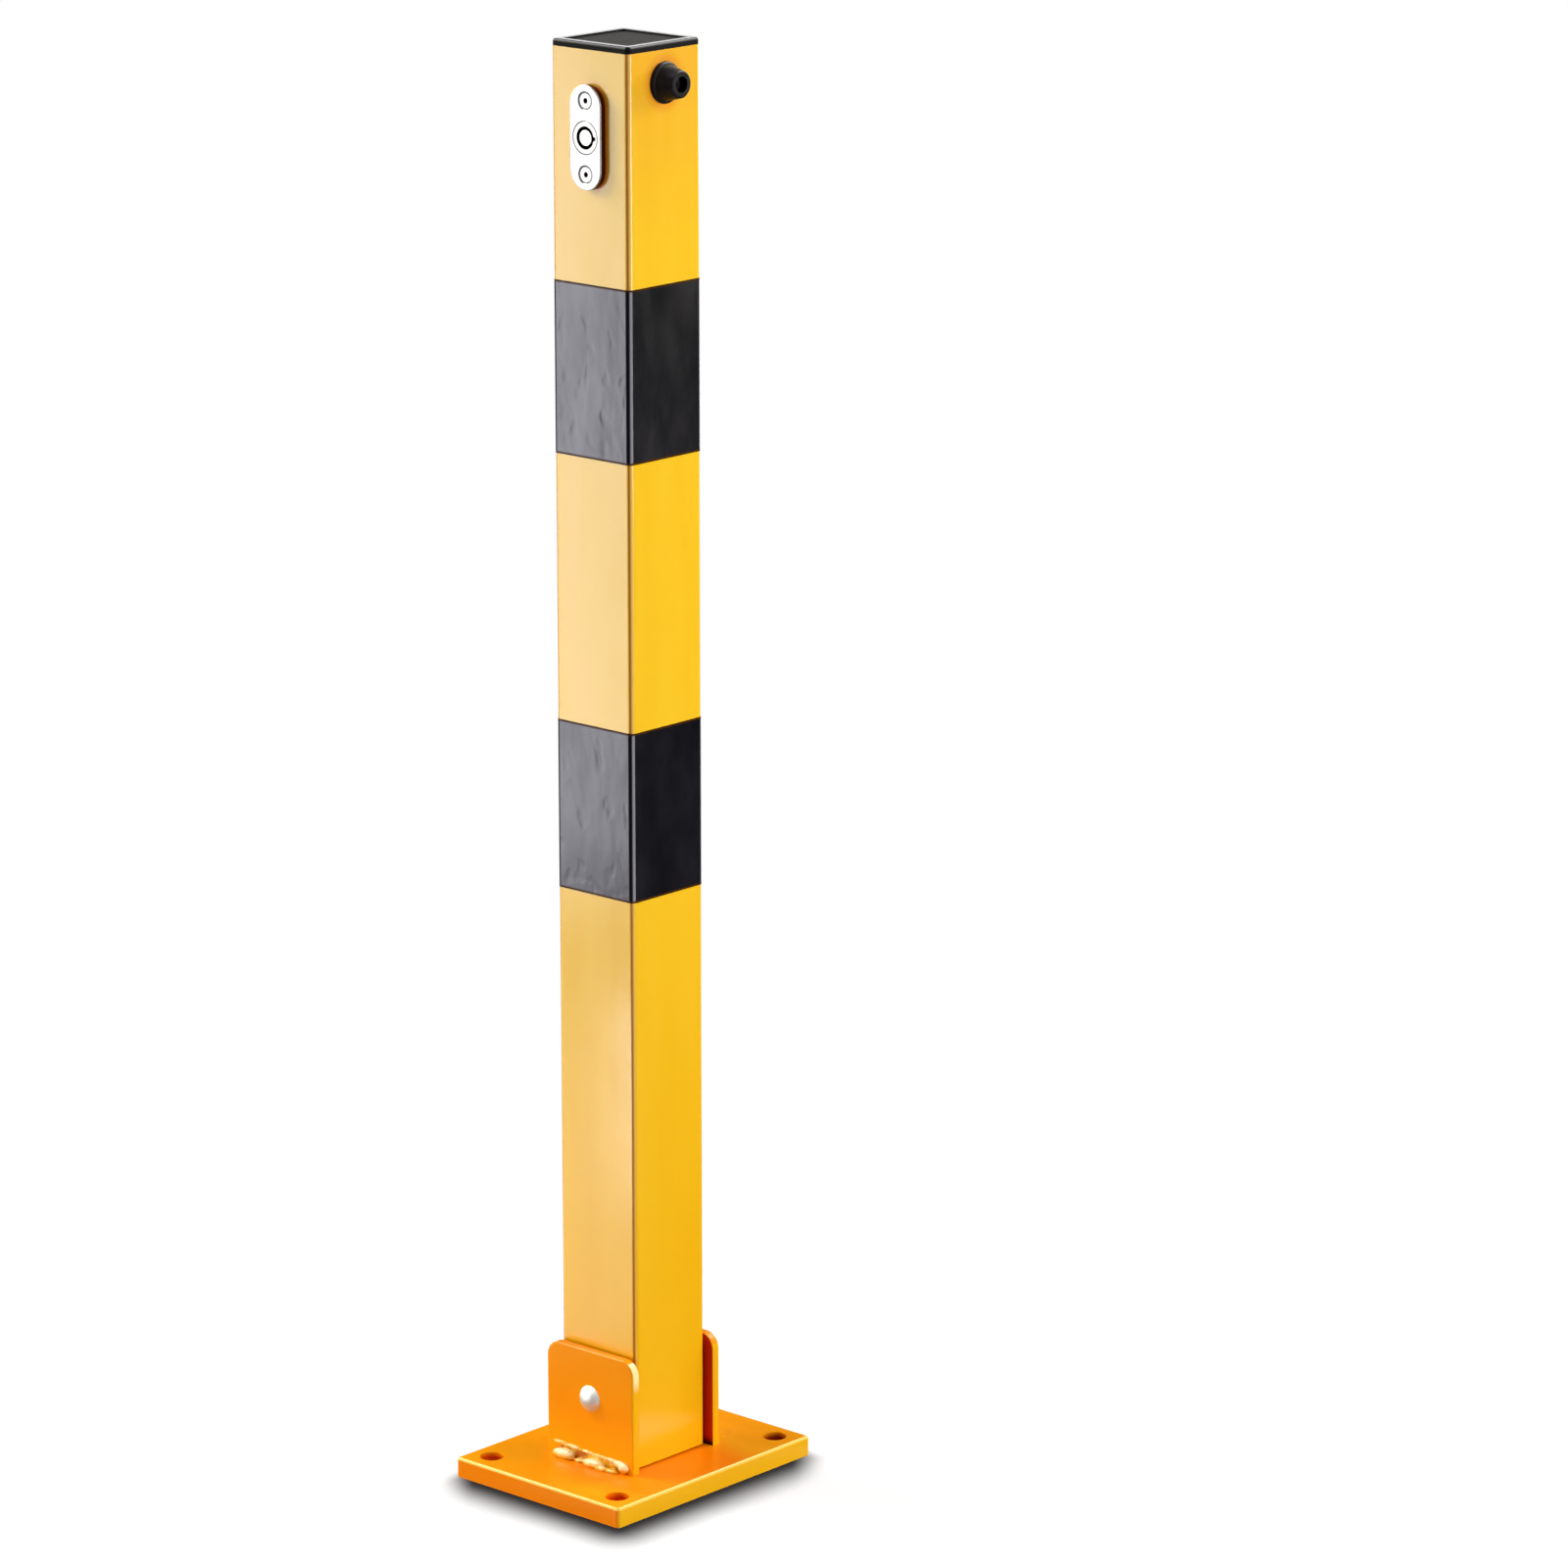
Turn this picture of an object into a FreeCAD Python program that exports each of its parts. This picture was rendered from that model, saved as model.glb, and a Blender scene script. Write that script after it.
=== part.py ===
import FreeCAD, Part
import math
import os
import re

import Sketcher

# Fold-down bollard: a square post that slides on a pinned inner bar, is lifted clear of its base
# plate and folds down onto a rubber bumper. A cam lock near the top holds the bar when it stands.
# Millimetres. The origin is the middle of the plate's underside, with +Z up. The lock is on the
# -Y face, the bumper on the +X face, and the hinge pin runs along Y.

SIZES = {
    # Base plate and its anchor holes
    "plate_width": 110,
    "plate_length": 140,
    "plate_thickness": 10,
    "plate_corner": 2,
    "plate_edge": 1.5,
    "anchor_hole": 12,
    "anchor_inset": 12.5,
    # Lugs that stand on the plate, and the weld bead at the foot of each
    "ear_width": 58,
    "ear_height": 58,
    "ear_thickness": 5,
    "ear_corner": 8,
    "ear_edge": 1,
    "ear_gap": 1.5,
    "weld_start_inset": 5,
    "weld_end_inset": 2,
    "weld_valley": 3.4,
    "weld_end_radius": 14,
    "weld_ripple_radius": 31,
    # Hinge pin with a domed head at each end, and its two washers
    "pin_rise": 33.3,
    "pin_diameter": 10,
    "pin_fit": 0.1,
    "pin_head": 13.4,
    "pin_head_height": 3.6,
    "washer_diameter": 20,
    "washer_thickness": 1,
    # Bush on the pin and the bar that stands on it
    "eye_diameter": 20,
    "eye_running_fit": 0.06,
    "eye_side_gap": 1,
    "bar_diameter": 12,
    "bar_thread": 8,
    "bar_tip": 1.5,
    "bar_point": 1,
    "thread_fit": 0.05,
    # Collar on the bar that limits the lift
    "stop_diameter": 22,
    "stop_height": 8,
    "stop_travel": 32,
    # Square tube of the post and its slot over the pin
    "tube_side": 50,
    "tube_wall": 2,
    "tube_corner": 2.5,
    "tube_inner_corner": 0.8,
    "tube_length": 699,
    "foot_gap": 1,
    "slot_clearance": 0.3,
    # Black film bands round the tube, and the guide block behind the upper one
    "upper_band_drop": 111.5,
    "band_height": 84,
    "band_space": 131,
    "film_thickness": 0.2,
    "film_glue": 0.05,
    "guide_height": 10,
    "guide_fit": 0.1,
    "guide_bore_gap": 0.3,
    # Plastic cap on the tube's top end
    "cap_thickness": 3.4,
    "cap_edge": 1.4,
    "cap_rim": 4.5,
    "cap_dish": 0.9,
    "cap_leg_depth": 8,
    "cap_leg_wall": 1.6,
    "cap_fit": 0.1,
    # Lock plate, its countersunk screws and the lock in its middle
    "lock_drop": 41.2,
    "lock_plate_width": 20,
    "lock_plate_height": 50,
    "lock_plate_thickness": 3.2,
    "lock_plate_edge": 0.5,
    "lock_screw_inset": 7.5,
    "lock_screw_head": 8.2,
    "lock_screw_sink": 0.4,
    "lock_screw_diameter": 5,
    "lock_screw_tail": 4,
    "lock_screw_socket": 2.5,
    "lock_screw_socket_depth": 1.6,
    "screw_fit": 0.1,
    "lock_diameter": 16,
    "lock_nose_chamfer": 0.4,
    "lock_flange_thickness": 1.4,
    "lock_fit": 0.1,
    "lock_back_wall": 3,
    "lock_nut_flats": 22,
    "lock_nut_thickness": 4,
    # Round keyway and the core that the key turns
    "keyway_diameter": 11,
    "keyway_post": 7.6,
    "keyway_depth": 6,
    "keyway_recess": 0.3,
    "keyway_notch_width": 1.8,
    "keyway_notch_depth": 1.1,
    "plug_running_fit": 0.08,
    "spindle_diameter": 7,
    "spindle_square": 4.8,
    "spindle_fit": 0.05,
    # Cam on the core, its screw, and the catch on the bar that it is turned under
    "cam_width": 12,
    "cam_thickness": 2.5,
    "cam_end_gap": 0.2,
    "cam_screw_head": 9,
    "cam_screw_height": 2,
    "cam_screw_diameter": 3,
    "cam_screw_length": 6,
    "cam_bar_gap": 1.5,
    "catch_height": 8,
    "catch_gap": 0.8,
    "catch_side_gap": 3,
    "catch_wall_gap": 3,
    "catch_front": 1,
    "catch_border": 3,
    "catch_overhang": 0.5,
    "catch_nut_flats": 13,
    "catch_nut_thickness": 6.5,
    # Rubber bumper, its screw and nut
    "bumper_drop": 15.6,
    "bumper_base": 20,
    "bumper_rim": 2.2,
    "bumper_rim_round": 1.3,
    "bumper_nose": 13.4,
    "bumper_round": 1,
    "bumper_height": 11,
    "bumper_recess_gap": 0.4,
    "bumper_floor": 4.5,
    "bumper_screw_head": 7,
    "bumper_screw_height": 2.6,
    "bumper_screw_diameter": 4,
    "bumper_screw_socket": 2.5,
    "bumper_screw_socket_depth": 1.4,
    "bumper_screw_tip": 1,
    "bumper_nut_flats": 7,
    "bumper_nut_thickness": 3.2,
}

# Places that several pieces share, as formulas of those sizes
HALF_TUBE = "(tube_side / 2)"
HALF_BORE = "(tube_side / 2 - tube_wall)"
EAR_INSIDE = "(tube_side / 2 + ear_gap)"
EAR_OUTSIDE = "(tube_side / 2 + ear_gap + ear_thickness)"
PIN_Z = "(plate_thickness + pin_rise)"
TUBE_FOOT = "(plate_thickness + foot_gap)"
TUBE_TOP = "(plate_thickness + foot_gap + tube_length)"
LOCK_Z = "(%s - lock_drop)" % TUBE_TOP
BUMPER_Z = "(%s - bumper_drop)" % TUBE_TOP
UPPER_BAND_Z = "(%s - upper_band_drop - band_height)" % TUBE_TOP
LOWER_BAND_Z = "(%s - band_space - band_height)" % UPPER_BAND_Z
GUIDE_Z = "(%s + band_height / 2 - guide_height / 2)" % UPPER_BAND_Z
STOP_Z = "(%s + guide_height + stop_travel)" % GUIDE_Z
CATCH_Z = "(%s + cam_width / 2 + catch_gap)" % LOCK_Z
CAM_REACH = "(tube_side / 2 - tube_wall - catch_wall_gap)"
SCREW_OFFSET = "(lock_plate_height / 2 - lock_screw_inset)"
LOCK_FLANGE = "((lock_diameter + lock_plate_width) / 2)"
# Depths inside the tube, counted from its lock face
CAM_BACK = "(tube_side / 2 - bar_diameter / 2 - cam_bar_gap - cam_screw_height)"
CAM_FRONT = "(%s - cam_thickness)" % CAM_BACK
LOCK_BACK = "(%s - cam_thickness - cam_end_gap)" % CAM_BACK

doc = FreeCAD.newDocument("fold_down_bollard")
sheet = doc.addObject("Spreadsheet::Sheet", "sizes")
for row, (size_name, size) in enumerate(SIZES.items(), start=1):
    sheet.set("A%d" % row, size_name)
    sheet.set("B%d" % row, str(size))
    sheet.setAlias("B%d" % row, size_name)
doc.recompute()

SIZE_NAME = re.compile(r"\b(%s)\b" % "|".join(SIZES))


def formula(text):
    """The sheet's own form of a formula that is written with bare size names."""
    return SIZE_NAME.sub(r"sizes.\1", text)


def value(text):
    """What a formula comes to with the sheet's sizes."""
    return float(sheet.evalExpression(formula(text)))


def new_body(name):
    body = doc.addObject("PartDesign::Body", name)
    body.Label = name
    return body


def place(piece, x="0", y="0", z="0"):
    """Ties a piece's place to formulas."""
    for axis, text in (("x", x), ("y", y), ("z", z)):
        piece.setExpression("Placement.Base." + axis, formula(text))


def sketch_on(body, plane, offset="0"):
    """A sketch on one of the body's own origin planes, moved along that plane's normal."""
    sketch = body.newObject("Sketcher::SketchObject", body.Name + "_sketch")
    origin_plane = [item for item in body.Origin.OriginFeatures if item.Role == plane][0]
    sketch.AttachmentSupport = (origin_plane, [""])
    sketch.MapMode = "FlatFace"
    sketch.setExpression("AttachmentOffset.Base.z", formula(offset))
    return sketch


def constrain(sketch, kind, *target):
    """Adds a constraint whose last value is a formula."""
    index = sketch.addConstraint(Sketcher.Constraint(kind, *target[:-1], value(target[-1])))
    sketch.setExpression("Constraints[%d]" % index, formula(target[-1]))


def fix_point(sketch, geometry, end, x, y):
    constrain(sketch, "DistanceX", -1, 1, geometry, end, x)
    constrain(sketch, "DistanceY", -1, 1, geometry, end, y)


def arc_between(start, end, radius, turn):
    """The short arc from start to end; turn is +1 anticlockwise and -1 clockwise."""
    chord = end - start
    rise = math.sqrt(max(radius ** 2 - chord.Length ** 2 / 4, 0))
    left = FreeCAD.Vector(-chord.y, chord.x, 0).normalize()
    centre = (start + end) * 0.5 + left * rise * turn
    first, last = (start, end) if turn > 0 else (end, start)
    angles = [math.atan2(point.y - centre.y, point.x - centre.x) for point in (first, last)]
    return Part.ArcOfCircle(Part.Circle(centre, FreeCAD.Vector(0, 0, 1), radius), *angles)


def outline(sketch, corners):
    """A closed outline. A corner is (x, y), and the side after it is straight, or it is
    (x, y, radius, turn), and the side after it is an arc."""
    points = [FreeCAD.Vector(value(corner[0]), value(corner[1]), 0) for corner in corners]
    sides = []
    for place_in_row, corner in enumerate(corners):
        start = points[place_in_row]
        end = points[(place_in_row + 1) % len(points)]
        if len(corner) == 2:
            side = sketch.addGeometry(Part.LineSegment(start, end))
            sides.append((side, 1, 2))
        else:
            turn = corner[3]
            side = sketch.addGeometry(arc_between(start, end, value(corner[2]), turn))
            sides.append((side, 1, 2) if turn > 0 else (side, 2, 1))
    for (side, _, end), (following, start, _) in zip(sides, sides[1:] + sides[:1]):
        sketch.addConstraint(Sketcher.Constraint("Coincident", side, end, following, start))
    for corner, (side, start, _) in zip(corners, sides):
        fix_point(sketch, side, start, corner[0], corner[1])
        if len(corner) == 4:
            constrain(sketch, "Radius", side, corner[2])


def rectangle(sketch, low_x, low_y, high_x, high_y):
    outline(sketch, [(low_x, low_y), (high_x, low_y), (high_x, high_y), (low_x, high_y)])


def rounded_square(sketch, half_side, radius):
    straight = "(%s - %s)" % (half_side, radius)
    outline(sketch, [
        (half_side, "-" + straight),
        (half_side, straight, radius, 1),
        (straight, half_side),
        ("-" + straight, half_side, radius, 1),
        ("-" + half_side, straight),
        ("-" + half_side, "-" + straight, radius, 1),
        ("-" + straight, "-" + half_side),
        (straight, "-" + half_side, radius, 1),
    ])


def circle(sketch, diameter, x="0", y="0"):
    centre = FreeCAD.Vector(value(x), value(y), 0)
    ring = sketch.addGeometry(Part.Circle(centre, FreeCAD.Vector(0, 0, 1), value(diameter) / 2))
    fix_point(sketch, ring, 3, x, y)
    constrain(sketch, "Diameter", ring, diameter)


def hexagon(sketch, flats):
    """A hexagon about the origin with two corners on the sketch's first axis."""
    half_flats = "(%s / 2)" % flats
    corner = "(%s / sqrt(3))" % flats
    half_corner = "(%s / sqrt(3) / 2)" % flats
    outline(sketch, [
        (corner, "0"),
        (half_corner, half_flats),
        ("-" + half_corner, half_flats),
        ("-" + corner, "0"),
        ("-" + half_corner, "-" + half_flats),
        (half_corner, "-" + half_flats),
    ])


def pad(body, sketch, length, side="One side", backwards=False):
    feature = body.newObject("PartDesign::Pad", body.Name + "_pad")
    feature.Profile = sketch
    feature.setExpression("Length", formula(length))
    feature.SideType = side
    feature.Reversed = backwards
    doc.recompute()
    return feature


def pocket(body, sketch, length=None, side="One side", backwards=False):
    """A cut along the sketch's normal, right through where no length is given."""
    before = body.Shape.Volume
    feature = body.newObject("PartDesign::Pocket", body.Name + "_pocket")
    feature.Profile = sketch
    feature.SideType = side
    feature.Reversed = backwards
    if length is None:
        feature.Type = "ThroughAll"
    else:
        feature.setExpression("Length", formula(length))
    doc.recompute()
    if not body.Shape.Volume < before:
        raise RuntimeError("a pocket of %s cuts nothing" % body.Label)
    return feature


def revolve(body, sketch, axis, angle=360):
    feature = body.newObject("PartDesign::Revolution", body.Name + "_turned")
    feature.Profile = sketch
    feature.ReferenceAxis = (sketch, [axis])
    feature.Angle = angle
    doc.recompute()
    return feature


def fillet(body, radius, wanted):
    """Rounds the body's edges that the test picks by their middle point and direction."""
    base = body.Tip
    names = []
    for number, edge in enumerate(base.Shape.Edges, start=1):
        direction = edge.tangentAt(edge.FirstParameter)
        if wanted(edge.CenterOfMass, direction):
            names.append("Edge%d" % number)
    feature = body.newObject("PartDesign::Fillet", body.Name + "_fillet")
    feature.Base = (base, names)
    feature.setExpression("Radius", formula(radius))
    doc.recompute()
    return feature


def group(name, members):
    """Like pieces kept as separate solids under one name."""
    together = doc.addObject("Part::Compound", name)
    together.Label = name
    together.Links = members
    return together


def ring(name, outer, inner, length, plane="XZ_Plane", side="One side"):
    """A round piece with a bore, such as a washer or a bush."""
    body = new_body(name)
    sketch = sketch_on(body, plane)
    circle(sketch, outer)
    circle(sketch, inner)
    pad(body, sketch, length, side)
    return body


def near(first, second):
    return abs(first - second) < 1e-4


# Base plate: flat steel with four anchor holes and softened upper edges
def make_base_plate():
    body = new_body("base_plate")
    blank = sketch_on(body, "XY_Plane")
    rectangle(blank, "-plate_width / 2", "-plate_length / 2", "plate_width / 2", "plate_length / 2")
    pad(body, blank, "plate_thickness")
    fillet(body, "plate_corner", lambda middle, direction: near(abs(direction.z), 1))
    top = value("plate_thickness")
    fillet(body, "plate_edge", lambda middle, direction: near(middle.z, top))
    holes = sketch_on(body, "XY_Plane")
    for x_sign in ("-", "+"):
        for y_sign in ("-", "+"):
            circle(holes, "anchor_hole", x_sign + "(plate_width / 2 - anchor_inset)",
                   y_sign + "(plate_length / 2 - anchor_inset)")
    pocket(body, holes, side="Symmetric")
    return body


# Lug: steel plate on edge with rounded top corners and a hole for the pin
def make_ear(name, outer_face):
    body = new_body(name)
    blank = sketch_on(body, "XZ_Plane")
    straight_x = "(ear_width / 2 - ear_corner)"
    straight_z = "(ear_height - ear_corner)"
    outline(blank, [
        ("-ear_width / 2", "0"),
        ("ear_width / 2", "0"),
        ("ear_width / 2", straight_z, "ear_corner", 1),
        (straight_x, "ear_height"),
        ("-" + straight_x, "ear_height", "ear_corner", 1),
        ("-ear_width / 2", straight_z),
    ])
    pad(body, blank, "ear_thickness")
    thickness = value("ear_thickness")
    fillet(body, "ear_edge", lambda middle, direction: middle.z > thickness / 2
           and (near(middle.y, 0) or near(middle.y, -thickness)))
    hole = sketch_on(body, "XZ_Plane")
    circle(hole, "pin_diameter + pin_fit", "0", "pin_rise")
    pocket(body, hole, side="Symmetric")
    place(body, y=outer_face, z="plate_thickness")
    return body


# Weld bead: three overlapping lumps laid in the corner between lug and plate
def make_weld(name, corner_y, turn):
    body = new_body(name)
    profile = sketch_on(body, "XZ_Plane")
    lump = "((ear_width - weld_start_inset - weld_end_inset) / 3)"
    outline(profile, [
        ("0", "0", "weld_end_radius", -1),
        (lump, "weld_valley", "weld_ripple_radius", -1),
        ("2 * " + lump, "weld_valley", "weld_end_radius", -1),
        ("3 * " + lump, "0"),
    ])
    bead = revolve(body, profile, "H_Axis", 90)
    bead.Reversed = turn < 0
    place(body, x="weld_start_inset - ear_width / 2", y=corner_y, z="plate_thickness")
    return body


# Hinge pin: steel rivet with a domed head on the outer face of each lug
def make_hinge_pin():
    body = new_body("hinge_pin")
    profile = sketch_on(body, "YZ_Plane")
    dome = "((pin_head * pin_head / 4 + pin_head_height * pin_head_height) / 2 / pin_head_height)"
    tip = "(%s + pin_head_height)" % EAR_OUTSIDE
    outline(profile, [
        ("-" + tip, "0", dome, -1),
        ("-" + EAR_OUTSIDE, "pin_head / 2"),
        ("-" + EAR_OUTSIDE, "pin_diameter / 2"),
        (EAR_OUTSIDE, "pin_diameter / 2"),
        (EAR_OUTSIDE, "pin_head / 2", dome, -1),
        (tip, "0"),
    ])
    revolve(body, profile, "H_Axis")
    place(body, z=PIN_Z)
    return body


# Washers: one on the pin against the inner face of each lug
def make_hinge_washers():
    front = ring("front_washer", "washer_diameter", "pin_diameter + pin_fit", "washer_thickness")
    rear = ring("rear_washer", "washer_diameter", "pin_diameter + pin_fit", "washer_thickness")
    place(front, y="washer_thickness - " + EAR_INSIDE, z=PIN_Z)
    place(rear, y=EAR_INSIDE, z=PIN_Z)
    return group("hinge_washers", [front, rear])


# Bush that turns on the pin between the tube's walls
def make_hinge_eye():
    body = ring("hinge_eye", "eye_diameter", "pin_diameter + 2 * eye_running_fit",
                "tube_side - 2 * tube_wall - 2 * eye_side_gap", side="Symmetric")
    place(body, z=PIN_Z)
    return body


# Bar: round steel, hollowed at its foot to sit on the bush, turned down for the nut at its top
def make_lift_bar():
    body = new_body("lift_bar")
    shoulder = "(%s - %s)" % (CATCH_Z, PIN_Z)
    end = "(%s + catch_height + catch_nut_thickness + bar_tip)" % shoulder
    profile = sketch_on(body, "XZ_Plane")
    outline(profile, [
        ("0", "0"),
        ("bar_diameter / 2", "0"),
        ("bar_diameter / 2", shoulder),
        ("bar_thread / 2", shoulder),
        ("bar_thread / 2", end + " - bar_point"),
        ("bar_thread / 2 - bar_point", end),
        ("0", end),
    ])
    revolve(body, profile, "V_Axis")
    saddle = sketch_on(body, "XZ_Plane")
    circle(saddle, "eye_diameter")
    pocket(body, saddle, side="Symmetric")
    place(body, z=PIN_Z)
    return body


# Collar on the bar, which the guide block meets when the post is pulled too high
def make_lift_stop():
    body = ring("lift_stop", "stop_diameter", "bar_diameter + 2 * thread_fit", "stop_height",
                plane="XY_Plane")
    place(body, z=STOP_Z)
    return body


# Catch: flat steel on the bar's shoulder, with a side arm that hangs over the turned cam
def make_lock_catch():
    body = new_body("lock_catch")
    blank = sketch_on(body, "XY_Plane")
    arm_front = "(%s - catch_overhang - tube_side / 2)" % CAM_FRONT
    arm_inner = "-(cam_width / 2 + catch_side_gap)"
    front = "-(bar_diameter / 2 + catch_front)"
    border = "(bar_diameter / 2 + catch_border)"
    outline(blank, [
        ("-" + CAM_REACH, arm_front),
        (arm_inner, arm_front),
        (arm_inner, front),
        (border, front),
        (border, border),
        ("-" + border, border),
        ("-" + border, "0"),
        ("-" + CAM_REACH, "0"),
    ])
    circle(blank, "bar_thread + 2 * thread_fit")
    pad(body, blank, "catch_height")
    place(body, z=CATCH_Z)
    return body


def make_nut(name, flats, thread, thickness, plane):
    body = new_body(name)
    sketch = sketch_on(body, plane)
    hexagon(sketch, flats)
    circle(sketch, thread)
    pad(body, sketch, thickness)
    return body


# Nut that clamps the catch on the bar
def make_catch_nut():
    body = make_nut("catch_nut", "catch_nut_flats", "bar_thread + 2 * thread_fit",
                    "catch_nut_thickness", "XY_Plane")
    place(body, z=CATCH_Z + " + catch_height")
    return body


# Post: square steel tube, slotted from its foot over the pin, drilled for lock and bumper
def make_post_tube():
    body = new_body("post_tube")
    section = sketch_on(body, "XY_Plane")
    rounded_square(section, HALF_TUBE, "tube_corner")
    rounded_square(section, HALF_BORE, "tube_inner_corner")
    pad(body, section, "tube_length")
    slot = sketch_on(body, "XZ_Plane")
    half_slot = "(pin_diameter / 2 + slot_clearance)"
    slot_top = "(pin_rise - foot_gap)"
    outline(slot, [
        ("-" + half_slot, "-foot_gap"),
        (half_slot, "-foot_gap"),
        (half_slot, slot_top, half_slot, 1),
        ("0", "(%s + %s)" % (slot_top, half_slot), half_slot, 1),
        ("-" + half_slot, slot_top),
    ])
    pocket(body, slot, side="Symmetric")
    lock_holes = sketch_on(body, "XZ_Plane")
    lock_height = "(tube_length - lock_drop)"
    circle(lock_holes, "lock_diameter + 2 * lock_fit", "0", lock_height)
    for sign in ("-", "+"):
        screw_height = "(%s %s %s)" % (lock_height, sign, SCREW_OFFSET)
        circle(lock_holes, "lock_screw_diameter + 2 * screw_fit", "0", screw_height)
    pocket(body, lock_holes, backwards=True)
    bumper_hole = sketch_on(body, "YZ_Plane")
    circle(bumper_hole, "bumper_screw_diameter + 2 * screw_fit", "0", "(tube_length - bumper_drop)")
    pocket(body, bumper_hole, backwards=True)
    place(body, z=TUBE_FOOT)
    return body


# Cap: black plastic plate with a rounded rim, a shallow dished top and a leg inside the tube
def make_top_cap():
    body = new_body("top_cap")
    plate = sketch_on(body, "XY_Plane")
    rounded_square(plate, HALF_TUBE, "tube_corner")
    pad(body, plate, "cap_thickness")
    top = value("cap_thickness")
    fillet(body, "cap_edge", lambda middle, direction: near(middle.z, top))
    dish = sketch_on(body, "XY_Plane", "cap_thickness")
    rounded_square(dish, "(tube_side / 2 - cap_rim)", "tube_corner")
    pocket(body, dish, "cap_dish")
    leg = sketch_on(body, "XY_Plane")
    leg_outside = "(tube_side / 2 - tube_wall - cap_fit)"
    leg_corner = "(tube_inner_corner + cap_leg_wall)"
    rounded_square(leg, leg_outside, leg_corner)
    rounded_square(leg, "(%s - cap_leg_wall)" % leg_outside, "tube_inner_corner")
    pad(body, leg, "cap_leg_depth", backwards=True)
    place(body, z=TUBE_TOP)
    return body


# Bands: black film wrapped once round the tube
def make_band(name, rise):
    body = new_body(name)
    section = sketch_on(body, "XY_Plane")
    rounded_square(section, "(tube_side / 2 + film_glue + film_thickness)",
                   "(tube_corner + film_glue + film_thickness)")
    rounded_square(section, "(tube_side / 2 + film_glue)", "(tube_corner + film_glue)")
    pad(body, section, "band_height")
    place(body, z=rise)
    return body


# Guide: plastic block pressed into the tube, which slides on the bar
def make_bar_guide():
    body = new_body("bar_guide")
    section = sketch_on(body, "XY_Plane")
    rounded_square(section, "(tube_side / 2 - tube_wall - guide_fit)", "(tube_inner_corner + guide_fit)")
    circle(section, "bar_diameter + 2 * guide_bore_gap")
    pad(body, section, "guide_height")
    place(body, z=GUIDE_Z)
    return body


# Lock plate: obround stainless plate with a hole for the lock and two countersunk screw holes
def make_lock_plate():
    body = new_body("lock_plate")
    blank = sketch_on(body, "XZ_Plane")
    half_width = "(lock_plate_width / 2)"
    half_height = "(lock_plate_height / 2)"
    straight = "(lock_plate_height / 2 - lock_plate_width / 2)"
    outline(blank, [
        (half_width, "-" + straight),
        (half_width, straight, half_width, 1),
        ("0", half_height, half_width, 1),
        ("-" + half_width, straight),
        ("-" + half_width, "-" + straight, half_width, 1),
        ("0", "-" + half_height, half_width, 1),
    ])
    pad(body, blank, "lock_plate_thickness")
    front = -value("lock_plate_thickness")
    fillet(body, "lock_plate_edge", lambda middle, direction: near(middle.y, front))
    through = sketch_on(body, "XZ_Plane")
    circle(through, "lock_diameter + 2 * lock_fit")
    pocket(body, through, side="Symmetric")
    flange_seat = sketch_on(body, "XZ_Plane")
    circle(flange_seat, LOCK_FLANGE + " + 2 * lock_fit")
    pocket(body, flange_seat, "lock_flange_thickness", backwards=True)
    screw_places = sketch_on(body, "XZ_Plane", "lock_plate_thickness")
    for sign in ("-", "+"):
        circle(screw_places, "lock_screw_diameter", "0", sign + SCREW_OFFSET)
    doc.recompute()
    holes = body.newObject("PartDesign::Hole", "lock_plate_holes")
    holes.Profile = screw_places
    holes.DepthType = "ThroughAll"
    holes.setExpression("Diameter", formula("lock_screw_diameter + 2 * screw_fit"))
    holes.HoleCutType = "Countersink"
    holes.setExpression("HoleCutDiameter", formula("lock_screw_head + 2 * (screw_fit + lock_screw_sink)"))
    holes.HoleCutCountersinkAngle = 90
    doc.recompute()
    place(body, y="-" + HALF_TUBE, z=LOCK_Z)
    return body


# Lock screws: countersunk, sunk a little below the plate's face, with a small hexagon socket
def make_lock_screw(name, height):
    body = new_body(name)
    profile = sketch_on(body, "YZ_Plane")
    head = "(lock_screw_sink - lock_plate_thickness)"
    cone = "((lock_screw_head - lock_screw_diameter) / 2)"
    outline(profile, [
        (head, "0"),
        (head, "lock_screw_head / 2"),
        ("(%s + %s)" % (head, cone), "lock_screw_diameter / 2"),
        ("tube_wall + lock_screw_tail", "lock_screw_diameter / 2"),
        ("tube_wall + lock_screw_tail", "0"),
    ])
    revolve(body, profile, "H_Axis")
    socket = sketch_on(body, "XZ_Plane", "-" + head)
    hexagon(socket, "lock_screw_socket")
    pocket(body, socket, "lock_screw_socket_depth")
    place(body, y="-" + HALF_TUBE, z=height)
    return body


def make_lock_screws():
    upper = make_lock_screw("upper_lock_screw", "%s + %s" % (LOCK_Z, SCREW_OFFSET))
    lower = make_lock_screw("lower_lock_screw", "%s - %s" % (LOCK_Z, SCREW_OFFSET))
    return group("lock_screws", [upper, lower])


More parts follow.
